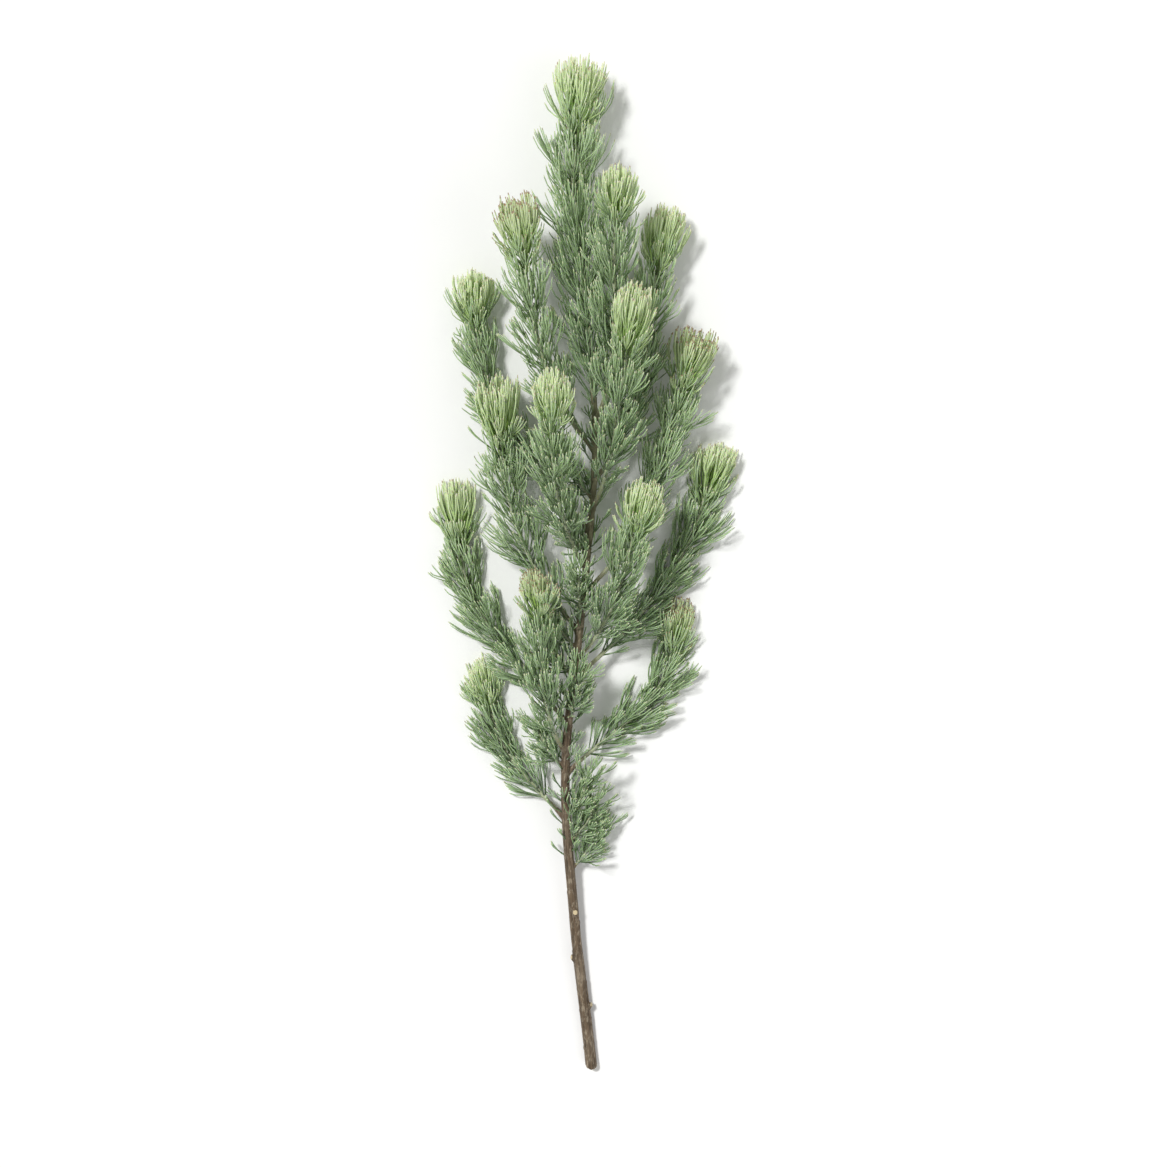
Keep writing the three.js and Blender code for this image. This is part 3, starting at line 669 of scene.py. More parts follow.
class Shader:
    """A material with one Principled BSDF, whose other nodes come from one method"""

    def __init__(self, name, **plain):
        self.material = bpy.data.materials.new(name)
        self.material.use_nodes = True
        self.tree = self.material.node_tree
        self.surface = self.tree.nodes["Principled BSDF"]
        self.paint(**plain)

    def node(self, kind, settings=None, inputs=None, output=0):
        """Adds a node: its settings first, then the values and links of its sockets"""
        made = self.tree.nodes.new(kind)
        for key, value in (settings or {}).items():
            if key == "stops":
                self._set_stops(made.color_ramp, value)
            else:
                setattr(made, key, value)
        for key, value in (inputs or {}).items():
            self.feed(made.inputs[key], value)
        return Value(self, made.outputs[output])

    def feed(self, socket, value):
        if isinstance(value, Value):
            self.tree.links.new(value.socket, socket)
        elif isinstance(value, tuple) and len(value) == 3 and socket.type == "RGBA":
            socket.default_value = (*value, 1)
        else:
            socket.default_value = value

    @staticmethod
    def _set_stops(ramp, stops):
        while len(ramp.elements) > 1:
            ramp.elements.remove(ramp.elements[-1])
        for i, (place, shade) in enumerate(stops):
            element = ramp.elements[0] if i == 0 else ramp.elements.new(place)
            element.position = place
            element.color = (*shade, 1)

    def ramp(self, value, stops):
        return self.node("ShaderNodeValToRGB", {"stops": stops}, {0: value})

    def rising(self, value, low, high):
        """0 up to low, 1 from high on"""
        return self.ramp(value, [(low, BLACK), (high, WHITE)])

    def falling(self, value, low, high):
        """1 up to low, 0 from high on"""
        return self.ramp(value, [(low, WHITE), (high, BLACK)])

    def mix(self, share, first, second):
        return self.node("ShaderNodeMix", {"data_type": "RGBA"}, {0: share, 6: first, 7: second}, output=2)

    def noise(self, vector, scale, detail=2.0, roughness=0.5):
        return self.node("ShaderNodeTexNoise", {}, {
            "Vector": vector, "Scale": scale, "Detail": detail, "Roughness": roughness})

    def scaled(self, vector, *scale, location=(0.0, 0.0, 0.0)):
        return self.node("ShaderNodeMapping", {}, {"Vector": vector, "Location": location, "Scale": scale})

    def part(self, vector, axis):
        """One of a vector's three numbers"""
        return self.node("ShaderNodeSeparateXYZ", {}, {0: vector}, output=axis)

    def attribute(self, name):
        return self.node("ShaderNodeAttribute", {"attribute_name": name}, output=2)

    def paint(self, **inputs):
        """Feeds the surface's sockets, named with _ for a space"""
        for socket, value in inputs.items():
            self.feed(self.surface.inputs[socket.replace("_", " ")], value)
        return self.material


def linear(shade):
    """A colour as the eye reads it, turned into amounts of light"""
    return tuple((c / 12.92) if c <= 0.04045 else ((c + 0.055) / 1.055) ** 2.4 for c in shade)


def darker(shade, share):
    return tuple(c * share for c in shade)


def blend(first, second, share):
    return tuple(a + (b - a) * share for a, b in zip(first, second))


# How finely patterns lie on the colour map
DRIFT, SPECKLE, BY_LEAF = (2.0, 34.0, 1.0), (30.0, 60.0, 1.0), (0.0, 90.0, 1.0)
TIP_STARTS = (0.945, 0.965)   # where on a leaf the tiny tip starts
# How far the paler needles go towards their silvery, painted highlight, and the darker ones into painted
# shade
SILVER_AND_HIGHLIGHT_SHARE = PAINTED_SHADE_SHARE = 0.45


def leaf_material(name, low, high, pale_low, pale_high, tips, brown_share, twig, twig_foot):
    """Leaves coloured by their place on the colour map: along the leaf, and from old to young"""
    shader = Shader(
        name, Roughness=0.56, Sheen_Weight=0.3, Sheen_Roughness=0.35, Sheen_Tint=(0.94, 1.0, 0.86),
        Specular_IOR_Level=0.4, Subsurface_Weight=0.3, Subsurface_Scale=0.0008,
        Subsurface_Radius=(0.8, 1.0, 0.3))
    place = shader.node("ShaderNodeUVMap", {"uv_map": COLOUR_MAP})
    along, tone = shader.part(place, 0), shader.part(place, 1)
    # Darker at a leaf's foot and pale towards its tip. The dark foot is partly the older foot and partly
    # painted shade, where the leaves crowd together at the twig.
    old = shader.ramp(along, [(0.0, darker(low, 0.5)), (0.35, low), (0.85, pale_low)])
    new = shader.ramp(along, [(0.0, darker(high, 0.75)), (0.3, high), (0.75, pale_high)])
    leaf = shader.mix(tone, old, new)
    # Needle by needle the tone drifts at random. The paler needles are partly their own silvery tone and
    # partly a painted highlight.
    drift = shader.noise(shader.scaled(place, *DRIFT), 1.0, 1.0)
    silver_and_highlight = shader.mix(SILVER_AND_HIGHLIGHT_SHARE, leaf, blend(pale_low, WHITE, 0.25))
    leaf = shader.mix(shader.rising(drift, 0.42, 0.66), leaf, silver_and_highlight)
    # Painted shade: darker needles, standing in for the shade that falls between them
    shade = shader.mix(PAINTED_SHADE_SHARE, leaf, darker(low, 0.5))
    leaf = shader.mix(shader.falling(drift, 0.34, 0.5), leaf, shade)
    rare = 0.72 - 0.4 * brown_share
    brown = shader.rising(shader.noise(shader.scaled(place, *BY_LEAF), 1.0), rare - 0.06, rare + 0.06)
    leaf = shader.mix(shader.rising(along, *TIP_STARTS), leaf, shader.mix(brown, *tips))
    felt_pattern = shader.noise(shader.scaled(place, *SPECKLE), 1.0)
    stalk = shader.mix(felt_pattern, darker(twig, 0.75), blend(twig, WHITE, 0.15))
    woody = shader.falling(along + 0.15 * (felt_pattern - 0.5), 0.04, 0.2)
    stalk = shader.mix(0.85 * woody, stalk, twig_foot)
    return shader.paint(Base_Color=shader.mix(tone < TWIG_BAND, leaf, stalk))


def leaf_materials():
    shades = bpy.context.scene.stem_colours
    tone = {key: linear(getattr(shades, key)) for key in (
        "leaf", "leaf_pale", "young", "young_pale", "tip", "tip_brown", "twig", "bark")}
    worn = blend(tone["tip"], tone["leaf_pale"], 0.3), blend(tone["tip_brown"], tone["leaf_pale"], 0.4)
    MATERIALS["grown"] = leaf_material(
        "grown_leaves", tone["leaf"], blend(tone["leaf"], tone["young"], 0.35), tone["leaf_pale"],
        blend(tone["leaf_pale"], tone["young_pale"], 0.35), worn, 0.4, tone["twig"],
        blend(tone["bark"], tone["twig"], 0.25))
    for name, brown_share, dull in (("young", 0.35, 0.0), ("weathered", 0.95, 0.15)):
        pale = blend(tone["young_pale"], tone["tip_brown"], dull)
        MATERIALS[name] = leaf_material(
            f"{name}_leaves", blend(tone["leaf"], tone["young"], 0.55), tone["young"],
            blend(tone["leaf_pale"], pale, 0.6), pale, (tone["tip"], tone["tip_brown"]), brown_share,
            tone["twig"], tone["twig"])


RINGS_ACROSS = 200.0          # turns metres from the pith into shares of the ring pattern


def bark_material():
    """Streaked and furrowed bark, greener towards the top, with bare wood where it is cut"""
    shades = bpy.context.scene.stem_colours
    bark, pale, wood, green = (
        linear(shade) for shade in (shades.bark, shades.bark_pale, shades.cut_wood, shades.twig))
    shader = Shader("bark", Roughness=0.82, Specular_IOR_Level=0.3, Sheen_Weight=0.1)
    place = shader.node("ShaderNodeTexCoord", output=3)
    lengthwise = shader.scaled(place, 1.0, 0.07, 1.0)
    half_way = shader.scaled(place, 1.0, 0.4, 1.0)
    streaks = shader.noise(lengthwise, 1400.0, 5.0, 0.65)
    flakes = shader.noise(half_way, 420.0, 5.0, 0.7)
    patches = shader.noise(half_way, 60.0, 3.0)
    cracks = shader.ramp(
        shader.noise(lengthwise, 430.0, 3.0, 0.55), [(0.455, BLACK), (0.5, WHITE), (0.53, BLACK)])
    skin = shader.mix(shader.rising(streaks, 0.38, 0.62), darker(bark, 0.55), bark)
    skin = shader.mix(0.75 * shader.rising(flakes, 0.5, 0.6), skin, pale)
    skin = shader.mix(0.4 * shader.rising(patches, 0.45, 0.65), skin, blend(bark, pale, 0.6))
    # Darker in the furrows that are sunk into the surface, and along the cracks
    skin = shader.mix(0.6 * shader.attribute("furrow") + 0.4 * cracks, skin, darker(bark, 0.25))
    greener = shader.rising(3.0 * shader.part(place, 1) + 0.45, 0.2, 0.9)
    skin = shader.mix(0.7 * greener, skin, blend(green, bark, 0.35))
    pith_x, _, pith_z = MAIN.points[0] * MM
    heart = shader.scaled(place, 1.0, 0.0, 1.0, location=(-pith_x, 0.0, -pith_z))
    out = shader.node("ShaderNodeVectorMath", {"operation": "LENGTH"}, {0: heart}, output=1)
    fibres = shader.noise(place, 2600.0, 2.0)
    year, pith = darker(wood, 0.8), blend(wood, bark, 0.75)
    rings = shader.ramp(RINGS_ACROSS * out + 0.03 * (fibres - 0.5), [
        (0.0, pith), (0.09, pith), (0.13, wood), (0.3, wood), (0.34, year), (0.37, wood), (0.54, wood),
        (0.58, year), (0.61, wood), (0.7, blend(wood, green, 0.3)), (0.77, darker(bark, 0.8)), (0.9, wood)])
    fresh = shader.mix(0.35 * fibres, rings, darker(wood, 0.6))
    relief = streaks + 0.6 * flakes - 0.8 * cracks
    bump = shader.node("ShaderNodeBump", {}, {"Strength": 0.6, "Distance": 0.0004, "Height": relief})
    return shader.paint(Base_Color=shader.mix(shader.attribute("bare_wood"), skin, fresh), Normal=bump)


# Pieces


def show(mesh_or_object, name, material, slot, *nodes):
    """Puts a finished piece in the scene, in place of the solid that it stands for"""
    if isinstance(mesh_or_object, bpy.types.Mesh):
        piece = bpy.data.objects.new(name, mesh_or_object)
        bpy.context.scene.collection.objects.link(piece)
    else:
        piece = mesh_or_object
        piece.name = name
        piece.data.name = name
    piece.data.materials.clear()
    piece.data.materials.append(material)
    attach(piece, "root")
    if nodes:
        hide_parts(*nodes)


def tube_object(name, line, radius_at, sides, cuts):
    """A cylinder cut into rings, then bent along a line"""
    deselect()
    bpy.ops.mesh.primitive_cylinder_add(vertices=sides, radius=1, depth=1, location=(0, 0, 0.5))
    shape = bpy.context.object
    shape.name = name
    bpy.ops.object.transform_apply(location=True, rotation=True, scale=True)
    mesh = open_for_edit(shape, "EDGE")
    for edge in mesh.edges:
        edge.select_set(abs(edge.verts[0].co.z - edge.verts[1].co.z) > 0.5)
    bmesh.update_edit_mesh(shape.data)
    bpy.ops.mesh.subdivide(number_cuts=cuts)
    bpy.ops.object.mode_set(mode="OBJECT")
    points = np.array([v.co for v in shape.data.vertices])
    along = points[:, 2] * line.length
    _, normal, binormal = line.frame(along)
    wide = radius_at(along)[:, None]
    placed = line.point(along) + (normal * points[:, :1] + binormal * points[:, 1:2]) * wide
    shape.data.vertices.foreach_set("co", (placed * MM).astype(np.float32).ravel())
    shape.data.update()
    return shape


def apply_modifier(shape, kind, **settings):
    pick(shape)
    modifier = shape.modifiers.new(kind.lower(), kind)
    for key, value in settings.items():
        setattr(modifier, key, value)
    bpy.ops.object.modifier_apply(modifier=modifier.name)


WOOD_SIDES, WOOD_CUTS = 24, 240
COLLAR_SIDES, COLLAR_CUTS = 12, 8
THICK_COLLAR, THIN_COLLAR = 1.5, 1.1      # radius of what grows out of it: shoots and stubs, and spurs
COLLAR_RIM, COLLAR_FLARE, COLLAR_CURVE = 1.12, 0.75, 1.6
SMOOTH_BY = math.radians(50)

BARK_SEED = 3
ANY_PHASE = (0, 6.3)
WAVES = {"count": 14, "height": 0.028, "round": (3, 15), "pitch": (9, 40), "wander": 1.6}
FURROWS = {"count": 12, "depth": 0.3, "round": (2, 5), "narrow": 60, "bend": 1.2, "pitch": (12, 30),
           "stretch": (7, 16)}
SCARS = {"first": 6, "every": 5.5, "radius": 3.0, "dent": 0.3, "dent_size": (1.6, 1.1),
         "cushion": 0.32, "cushion_size": (2.2, 1.6), "cushion_below": 1.8}
LOWEST_WOOD = 0.02
FOOT_CUT_REACH, STUB_CUT_REACH = 12, 3.2
STUB_CUT_BACK, STUB_CUT_LEAN = 0.7, 0.4
CUT_DEPTH = 1                             # faces up to this far into the wood are opened for a cut
IN_PLANE, FACES_OUT = 0.05, 0.98          # how closely bare wood lies in a cut and faces out of it


class STEM_OT_wood(bpy.types.Operator):
    """Main stem with its bark, the collars of its shoots, stubs and the slanting cut"""
    bl_idname = "stem.wood"
    bl_label = "Woody stem"

    def execute(self, context):
        sizes = context.scene.stem_sizes
        shapes = [tube_object("wood", MAIN.part(0, sizes.wood_ends), stem_radius, WOOD_SIDES, WOOD_CUTS)]
        collars = [(line, start, THICK_COLLAR) for line, start, _ in side_lines()]
        collars += [(line, start, THIN_COLLAR) for line, start in spur_lines()]
        for leaves, turn in STUBS:
            collars.append((spur_line(leaves, turn), collar_end(leaves, STUB_LENGTH), THICK_COLLAR))
        for line, end, twig in collars:
            def flare(along, end=end, twig=twig):
                return twig * (COLLAR_RIM + COLLAR_FLARE * np.clip(1 - along / end, 0, 1) ** COLLAR_CURVE)
            shapes.append(tube_object("collar", line.part(0, end), flare, COLLAR_SIDES, COLLAR_CUTS))
        pick(*shapes)
        bpy.ops.object.join()
        stem = shapes[0]
        apply_modifier(stem, "REMESH", mode="VOXEL", voxel_size=sizes.grain * MM)
        apply_modifier(stem, "SMOOTH", factor=0.5, iterations=6)
        self.roughen(stem, np.random.default_rng(BARK_SEED))
        cuts = self.cuts(sizes)
        for cut in cuts:
            self.cut(stem, *cut)
        self.mark_bare_wood(stem, cuts)
        bpy.ops.object.shade_smooth_by_angle(angle=SMOOTH_BY)
        show(stem, "stem_wood", bark_material(), "bark", "woody_stem")
        return {"FINISHED"}

    def roughen(self, stem, rng):
        """Shallow waves, long furrows and leaf scars, raised and sunk along the surface's own normals"""
        mesh = stem.data
        count = len(mesh.vertices)
        points, normals = np.empty(count * 3, np.float32), np.empty(count * 3, np.float32)
        mesh.vertices.foreach_get("co", points)
        mesh.vertices.foreach_get("normal", normals)
        points, normals = points.reshape(-1, 3) / MM, normals.reshape(-1, 3)
        order = np.interp(points[:, 1], MAIN.points[:, 1], MAIN.along)
        _, normal, binormal = MAIN.frame(order)
        offset = points - MAIN.point(order)
        angle = np.arctan2(np.sum(offset * binormal, 1), np.sum(offset * normal, 1))
        furrow = np.zeros(count)
        lift = self.waves(rng, angle, order)
        for _ in range(FURROWS["count"]):
            bend = FURROWS["bend"] * np.sin(order / rng.uniform(*FURROWS["pitch"]) + rng.uniform(*ANY_PHASE))
            crest = np.sin(rng.integers(*FURROWS["round"]) * angle + rng.uniform(*ANY_PHASE) + bend)
            stretch = np.sin(order / rng.uniform(*FURROWS["stretch"]) + rng.uniform(*ANY_PHASE))
            crest = np.maximum(0, crest) ** FURROWS["narrow"]
            furrow = np.maximum(furrow, crest * np.clip(2 * stretch, 0, 1))
        lift += self.scars(angle, order) - FURROWS["depth"] * furrow
        attribute = mesh.attributes.new("furrow", "FLOAT", "POINT")
        attribute.data.foreach_set("value", furrow.astype(np.float32))
        points = points + normals * lift[:, None]
        points[:, 2] = np.maximum(points[:, 2], LOWEST_WOOD)
        mesh.vertices.foreach_set("co", (points * MM).astype(np.float32).ravel())
        mesh.update()

    def waves(self, rng, angle, order):
        lift = np.zeros(len(angle))
        for _ in range(WAVES["count"]):
            waves, pitch = rng.integers(*WAVES["round"]), rng.uniform(*WAVES["pitch"])
            first, second = rng.uniform(*ANY_PHASE), rng.uniform(*ANY_PHASE)
            wander = WAVES["wander"] * np.sin(order / pitch + second)
            lift += WAVES["height"] * np.sin(waves * angle + first + wander)
        return lift

    def scars(self, angle, order):
        """Where leaves have dropped, in a spiral: a dent, and the cushion below it"""
        lift = np.zeros(len(angle))
        for scar in range(int(MAIN.length / SCARS["every"])):
            up = order - SCARS["first"] - scar * SCARS["every"]
            away = np.angle(np.exp(1j * (angle - scar * GOLDEN_ANGLE))) * SCARS["radius"]
            lift += SCARS["cushion"] * self.swell(up + SCARS["cushion_below"], away, *SCARS["cushion_size"])
            lift -= SCARS["dent"] * self.swell(up, away, *SCARS["dent_size"])
        return lift

    @staticmethod
    def swell(up, away, long, wide):
        return np.exp(-(up ** 2 / long + away ** 2 / wide))

    def cuts(self, sizes):
        """The slanting foot and the stubs: a point of each cut, the way into the wood, and its reach"""
        x, _, z = MAIN_AXIS[0]
        foot = np.array([x, sizes.cut_radius * math.tan(sizes.cut_slant), z]) - AXIS_ORIGIN
        into_foot = np.array([0, math.cos(sizes.cut_slant), math.sin(sizes.cut_slant)])
        rows = [(foot, into_foot, FOOT_CUT_REACH)]
        for leaves, turn in STUBS:
            line = spur_line(leaves, turn)
            at = collar_end(leaves, STUB_LENGTH) - STUB_CUT_BACK
            end, way = line.point(at), line.frame(at)[0]
            outward = square_to(MAIN.frame(leaves)[0], end - MAIN.point(leaves))
            rows.append((end, -unit(outward + way * STUB_CUT_LEAN), STUB_CUT_REACH))
        return rows

    def cut(self, stem, foot, normal, reach):
        """Cuts off what lies behind the plane, within reach of it, and closes the cut"""
        pick(stem)
        mesh = open_for_edit(stem, "FACE")
        for face in mesh.faces:
            offset = np.array(face.calc_center_median()) / MM - foot
            face.select_set(np.linalg.norm(offset) < reach and offset @ normal < CUT_DEPTH)
        bmesh.update_edit_mesh(stem.data)
        bpy.ops.mesh.bisect(plane_co=foot * MM, plane_no=normal, use_fill=True, clear_inner=True)
        bpy.ops.object.mode_set(mode="OBJECT")

    def mark_bare_wood(self, stem, cuts):
        """Faces that lie in a cut's plane and look out of it"""
        centres = np.array([p.center for p in stem.data.polygons]) / MM
        normals = np.array([p.normal for p in stem.data.polygons])
        bare = np.zeros(len(centres), bool)
        for foot, normal, reach in cuts:
            offset = centres - foot
            near = np.linalg.norm(offset, axis=1) < reach
            bare |= near & (np.abs(offset @ normal) < IN_PLANE) & (normals @ normal < -FACES_OUT)
        attribute = stem.data.attributes.new("bare_wood", "FLOAT", "FACE")
        attribute.data.foreach_set("value", bare.astype(np.float32))


# Kinds of leaf: lengths in millimetres, angles in degrees, tone from the oldest to the youngest
TWIG_LEAF = {"length": 33, "spread": 39, "tip_spread": 19, "fan": 4.4, "tone": (0.0, 0.6), "spacing": 1.1}
LEADER_LEAF = {
    "length": 41, "spread": 38, "tip_spread": 20, "fan": 5.4, "tone": (0.15, 0.85), "spacing": 0.95}
SPUR_LEAF = {"length": 21, "spread": 50, "tip_spread": 22, "fan": 3.6, "tone": (0.1, 0.55), "spacing": 0.85}
STEM_LEAF = {"length": 22, "spread": 55, "tip_spread": 26, "fan": 4.0, "tone": (0.0, 0.3), "spacing": 3.6}
COLLAR_LEAF = {"length": 27, "spread": 56, "tip_spread": 27, "fan": 3.6, "tone": (0.1, 0.4), "spacing": 1.1}
STEM_LEAVES_FROM, STEM_LEAVES_OUT = 158, 2.9

# Kinds of twig: how far each is sunk in its collar, its share without leaves, its radii from foot to end, and
# the radii at which its hairs and its leaves grow
SHOOT_TWIG = {
    "sunk": 2.5, "bare": 0.12, "sides": 8, "radii": (1.42, 1.12), "hairy": (1.5, 1.15), "leafy": 1.3}
LEADER_TWIG = {"sunk": 3, "bare": 0, "sides": 10, "radii": (1.9, 1.4), "hairy": (2.0, 1.4), "leafy": 1.7}
SPUR_TWIG = {"sunk": 1.5, "bare": 0, "sides": 6, "radii": (1.05, 0.85), "hairy": (1.1, 0.85), "leafy": 0.9}
SPREAD_VARIES = (0.85, 1.12)
FRESHER_UP, FRESH_VARIES = 0.3, 0.08      # how much younger leaves look on higher shoots, and by chance

# Heads: their shape, and the twig inside them and the collar of grown leaves, measured from the head's foot.
# All are given at size 1, but for LEADER_CORE, which is given as built.
HEAD = {"height": 43, "width": 13.0, "foot": 17, "fan": 2.9, "crowd": 1.0}
HEAD_VARIES = {"width": (0.88, 1.12), "dome": (0.02, 0.22), "closing": (-8, 9), "opening": (20, 32)}
HEAD_CORE = {"twig": (4, 15), "collar": (4, 5), "radii": (1.4, 1.1), "leafy": 1.2}
LEADER_SIZE = 1.4
LEADER_HEAD = {
    **HEAD, "height": 40, "width": 12.5, "foot": 20, "dome": 0.1, "opening": 28, "closing": -7, "crowd": 1.1}
LEADER_CORE = {"twig": (6, 20), "collar": (6, 7), "radii": (1.5, 1.1), "leafy": 1.4}
CORE_STARTS = 0.2
WEATHERED_HEADS = (2, 5, 8, 13)

# Every leafy piece has its own seed. Those of a row are counted on from here.
SHOOT_SEEDS, HEAD_SEEDS, SPUR_SEEDS = 99, 199, 399
LEADER_SEEDS, STEM_LEAVES_SEED = (300, 301), 500

PATTERNS = {}
MATERIALS = {}


def prepare():
    """The needle, the hair and the leaf materials, made once"""
    if not PATTERNS:
        PATTERNS["needle"] = pattern("needle", NEEDLE_PROFILE)
        PATTERNS["hair"] = pattern("hair", HAIR_PROFILE)
        leaf_materials()


def foliage(name, material, slot, node, seed, grow, hairy=None):
    """A leafy piece: grow fills the segments and may add a twig to the heap. hairy is where hairs grow:
    a line, its start, and the radii at both ends."""
    prepare()
    rng = np.random.default_rng([bpy.context.scene.leaf_sizes.seed, seed])
    heap, segments = Heap(), Segments()
    grow(heap, segments, rng)
    add_needles(heap, segments, PATTERNS["needle"], rng)
    if hairy:
        hairs = Segments()
        felt(hairs, rng, *hairy)
        add_needles(heap, hairs, PATTERNS["hair"], rng)
    show(heap.mesh(name), name, MATERIALS[material], slot, *([node] if node else []))


def leafy_twig(name, node, seed, line, start, twig, leaf, vary=None):
    """A piece of felted twig with its leaves. vary draws this twig's own kind of leaf."""
    def grow(heap, segments, rng):
        add_twig(heap, line, start - twig["sunk"], twig["radii"], rng, twig["sides"])
        own_leaf = vary(leaf, line, rng) if vary else leaf
        leaves_from = start + (line.length - start) * twig["bare"]
        twig_leaves(segments, rng, line, leaves_from, own_leaf, twig["leafy"])
    foliage(name, "grown", "grey_leaves", node, seed, grow, (line, start, twig["hairy"]))


def grow_head(heap, segments, rng, line, size, shape, core, stretch=1):
    """A head at the end of a line: its inner twig, its young leaves, and the grown leaves round its foot"""
    end, way = line.point(line.length), line.frame(line.length)[0]
    middle, top = core["twig"]
    inner_twig = Line([end - way, end + way * middle * stretch, end + way * top * stretch])
    add_twig(heap, inner_twig, CORE_STARTS, core["radii"], rng)
    head_leaves(segments, rng, end, way, size, shape)
    below, above = core["collar"]
    collar = Line([end - way * below * stretch, end, end + way * above * stretch])
    twig_leaves(segments, rng, collar, 0, COLLAR_LEAF, core["leafy"])


class STEM_OT_side_shoots(bpy.types.Operator):
    """Grey-green leafy twigs of the side shoots"""
    bl_idname = "stem.side_shoots"
    bl_label = "Side shoots"

    def execute(self, context):
        for i, (line, start, _) in enumerate(side_lines(), 1):
            leafy_twig(f"shoot_{i:02d}_leaves", f"side_shoot_{i:02d}_leaves", SHOOT_SEEDS + i, line, start,
                       SHOOT_TWIG, TWIG_LEAF, self.vary)
        return {"FINISHED"}

    def vary(self, leaf, line, rng):
        """Leaves that spread more or less, and look younger the higher the shoot leaves the stem"""
        wide = rng.uniform(*SPREAD_VARIES)
        up = (line.points[0] - MAIN.points[0])[1] / MAIN.length
        fresh = FRESHER_UP * up + either_way(rng, FRESH_VARIES)
        return {**leaf, "spread": leaf["spread"] * wide, "tip_spread": leaf["tip_spread"] * wide,
                "tone": tuple(end + fresh for end in leaf["tone"])}


class STEM_OT_heads(bpy.types.Operator):
    """Young heads at the ends of the side shoots"""
    bl_idname = "stem.heads"
    bl_label = "Heads"

    def execute(self, context):
        for i, (line, _, size) in enumerate(side_lines(), 1):
            def grow(heap, segments, rng, line=line, size=size):
                shape = {**HEAD, **{key: rng.uniform(*ends) for key, ends in HEAD_VARIES.items()}}
                shape["width"] *= HEAD["width"]
                grow_head(heap, segments, rng, line, size, shape, HEAD_CORE, stretch=size)
            age = "weathered" if i in WEATHERED_HEADS else "young"
            foliage(f"shoot_{i:02d}_head", age, "young_leaves", f"side_shoot_{i:02d}_brush",
                    HEAD_SEEDS + i, grow)
        return {"FINISHED"}


class STEM_OT_leader(bpy.types.Operator):
    """The leading shoot: its leafy twig and its head"""
    bl_idname = "stem.leader"
    bl_label = "Leader"

    def execute(self, context):
        twig_seed, head_seed = LEADER_SEEDS
        leafy_twig("leader_twig_leaves", "leader_leaves", twig_seed, MAIN, context.scene.stem_sizes.wood_ends,
                   LEADER_TWIG, LEADER_LEAF)

        def grow(heap, segments, rng):
            grow_head(heap, segments, rng, MAIN, LEADER_SIZE, LEADER_HEAD, LEADER_CORE)
        foliage("leader_head", "young", "young_leaves", "leader_brush", head_seed, grow)
        return {"FINISHED"}


class STEM_OT_spurs(bpy.types.Operator):
    """Short leafy spurs straight on the wood"""
    bl_idname = "stem.spurs"
    bl_label = "Spurs"

    def execute(self, context):
        for i, (line, start) in enumerate(spur_lines(), 1):
            leafy_twig(f"spur_{i:02d}", f"tuft_{i:02d}", SPUR_SEEDS + i, line, start, SPUR_TWIG, SPUR_LEAF)
        return {"FINISHED"}


class STEM_OT_stem_leaves(bpy.types.Operator):
    """Single leaves that the wood still carries between its shoots"""
    bl_idname = "stem.stem_leaves"
    bl_label = "Leaves on the wood"

    def execute(self, context):
        wood = MAIN.part(0, context.scene.stem_sizes.wood_ends)

        def grow(heap, segments, rng):
            twig_leaves(segments, rng, wood, STEM_LEAVES_FROM, STEM_LEAF, STEM_LEAVES_OUT)
        foliage("stem_leaves", "grown", "grey_leaves", None, STEM_LEAVES_SEED, grow)
        return {"FINISHED"}


# The stage, in metres and degrees

FLOOR_SIZE, FLOOR_BELOW = 60, 0.0002
SKY_POWER = 0.42
LIGHTS = {
    "key": {"place": (-0.6, 0.7, 1.3), "power": 2.5, "softness": 9},
    "fill": {"place": (1.2, -0.4, 1.0), "power": 0.4, "softness": 50},
}
LENS = 100
SEES_TO = 50
LOOKS_AT = (0, 0, 0.03)
CAMERA_AWAY = 2.18
CAMERA_LEAN = 11


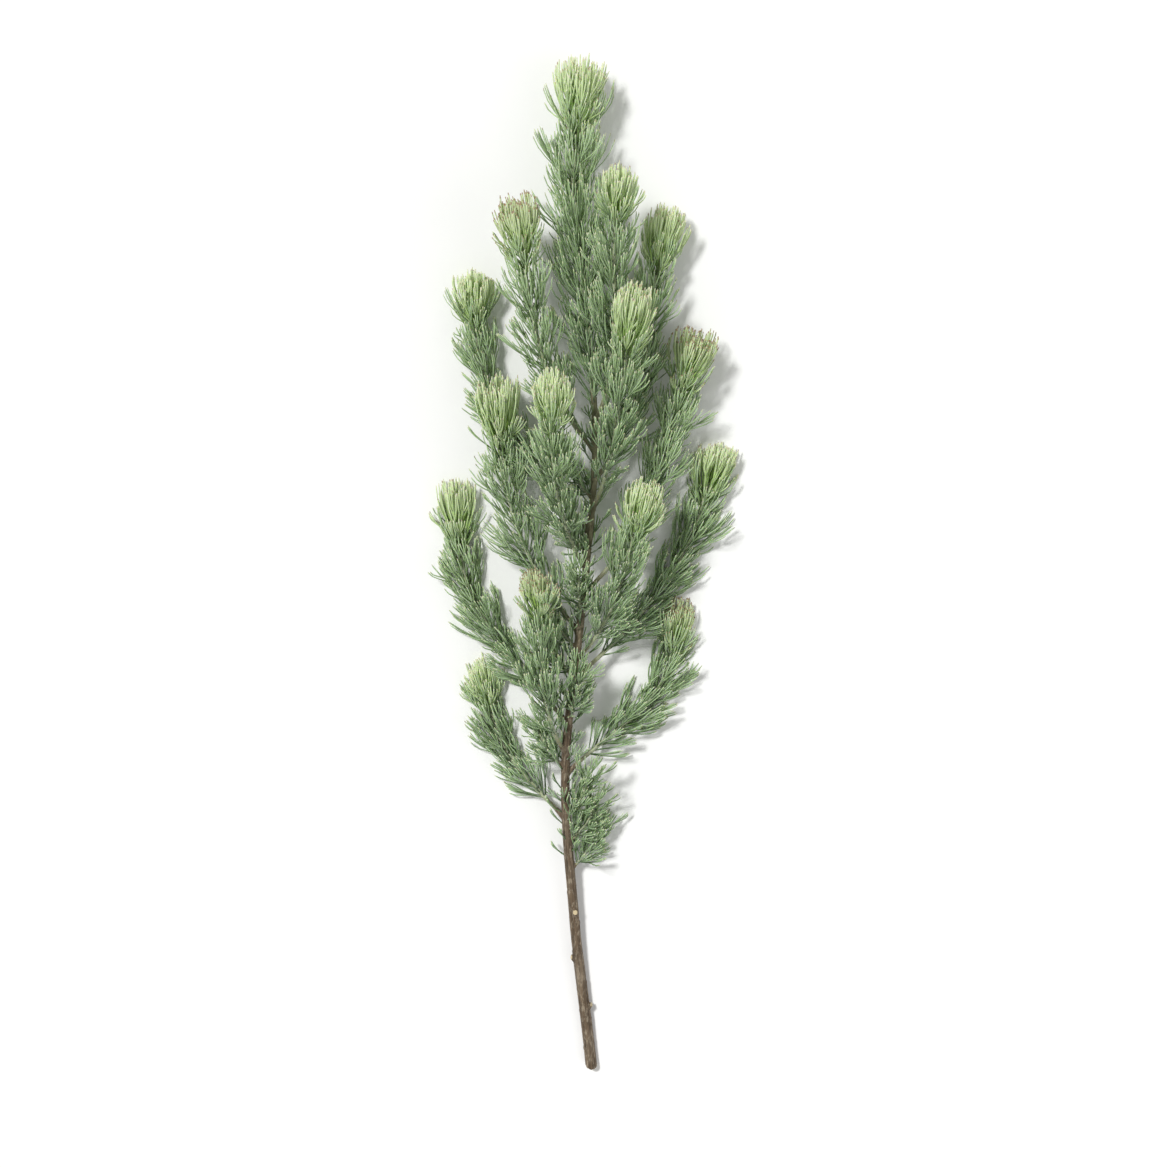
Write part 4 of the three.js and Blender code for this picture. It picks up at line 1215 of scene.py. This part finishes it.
class STEM_OT_stage(bpy.types.Operator):
    """Pale floor, soft light and the camera"""
    bl_idname = "stem.stage"
    bl_label = "Stage"

    def execute(self, context):
        self.floor(context.scene)
        self.lights(context.scene)
        self.camera(context.scene)
        return {"FINISHED"}

    def floor(self, scene):
        deselect()
        bpy.ops.mesh.primitive_plane_add(size=FLOOR_SIZE, location=(0, 0, -FLOOR_BELOW))
        floor = bpy.context.object
        floor.name = "floor"
        pale = Shader("floor", Roughness=0.9, Specular_IOR_Level=0.1)
        floor.data.materials.append(pale.paint(Base_Color=linear(scene.stem_colours.floor)))

    def lights(self, scene):
        world = bpy.data.worlds.new("soft_light")
        world.use_nodes = True
        sky = world.node_tree.nodes["Background"]
        sky.inputs["Color"].default_value = (*WHITE, 1)
        sky.inputs["Strength"].default_value = SKY_POWER
        scene.world = world
        scene.view_settings.view_transform = "Standard"
        for name, facts in LIGHTS.items():
            light = bpy.data.lights.new(name, "SUN")
            light.energy = facts["power"]
            light.angle = math.radians(facts["softness"])
            lamp = bpy.data.objects.new(name, light)
            lamp.location = facts["place"]
            lamp.rotation_euler = (-Vector(facts["place"])).to_track_quat("-Z", "Y").to_euler()
            scene.collection.objects.link(lamp)

    def camera(self, scene):
        lens = bpy.data.cameras.new("camera")
        lens.lens = LENS
        lens.clip_end = SEES_TO
        camera = bpy.data.objects.new("camera", lens)
        lean = math.radians(CAMERA_LEAN)
        camera.location = Vector(LOOKS_AT) + Vector((0, math.sin(lean), math.cos(lean))) * CAMERA_AWAY
        camera.rotation_euler = (-lean, 0, 0)
        scene.collection.objects.link(camera)
        scene.camera = camera


class STEM_PT_panel(bpy.types.Panel):
    bl_label = "Adenanthos stem"
    bl_idname = "STEM_PT_panel"
    bl_space_type = "VIEW_3D"
    bl_region_type = "UI"
    bl_category = "Stem"

    def draw(self, context):
        for operator in OPERATORS:
            self.layout.operator(operator.bl_idname)
        for group in (context.scene.stem_sizes, context.scene.leaf_sizes, context.scene.stem_colours):
            box = self.layout.box()
            for key in group.__annotations__:
                box.prop(group, key)


OPERATORS = (
    STEM_OT_wood, STEM_OT_side_shoots, STEM_OT_heads, STEM_OT_leader, STEM_OT_spurs, STEM_OT_stem_leaves,
    STEM_OT_stage)
CLASSES = (StemSizes, LeafSizes, Colours, *OPERATORS, STEM_PT_panel)


def register():
    for kind in CLASSES:
        bpy.utils.register_class(kind)
    bpy.types.Scene.stem_sizes = bpy.props.PointerProperty(type=StemSizes)
    bpy.types.Scene.leaf_sizes = bpy.props.PointerProperty(type=LeafSizes)
    bpy.types.Scene.stem_colours = bpy.props.PointerProperty(type=Colours)


def unregister():
    del bpy.types.Scene.stem_sizes
    del bpy.types.Scene.leaf_sizes
    del bpy.types.Scene.stem_colours
    for kind in reversed(CLASSES):
        bpy.utils.unregister_class(kind)


def main():
    register()
    for operator in OPERATORS:
        group, name = operator.bl_idname.split(".")
        getattr(getattr(bpy.ops, group), name)()


if __name__ == "__main__":
    main()
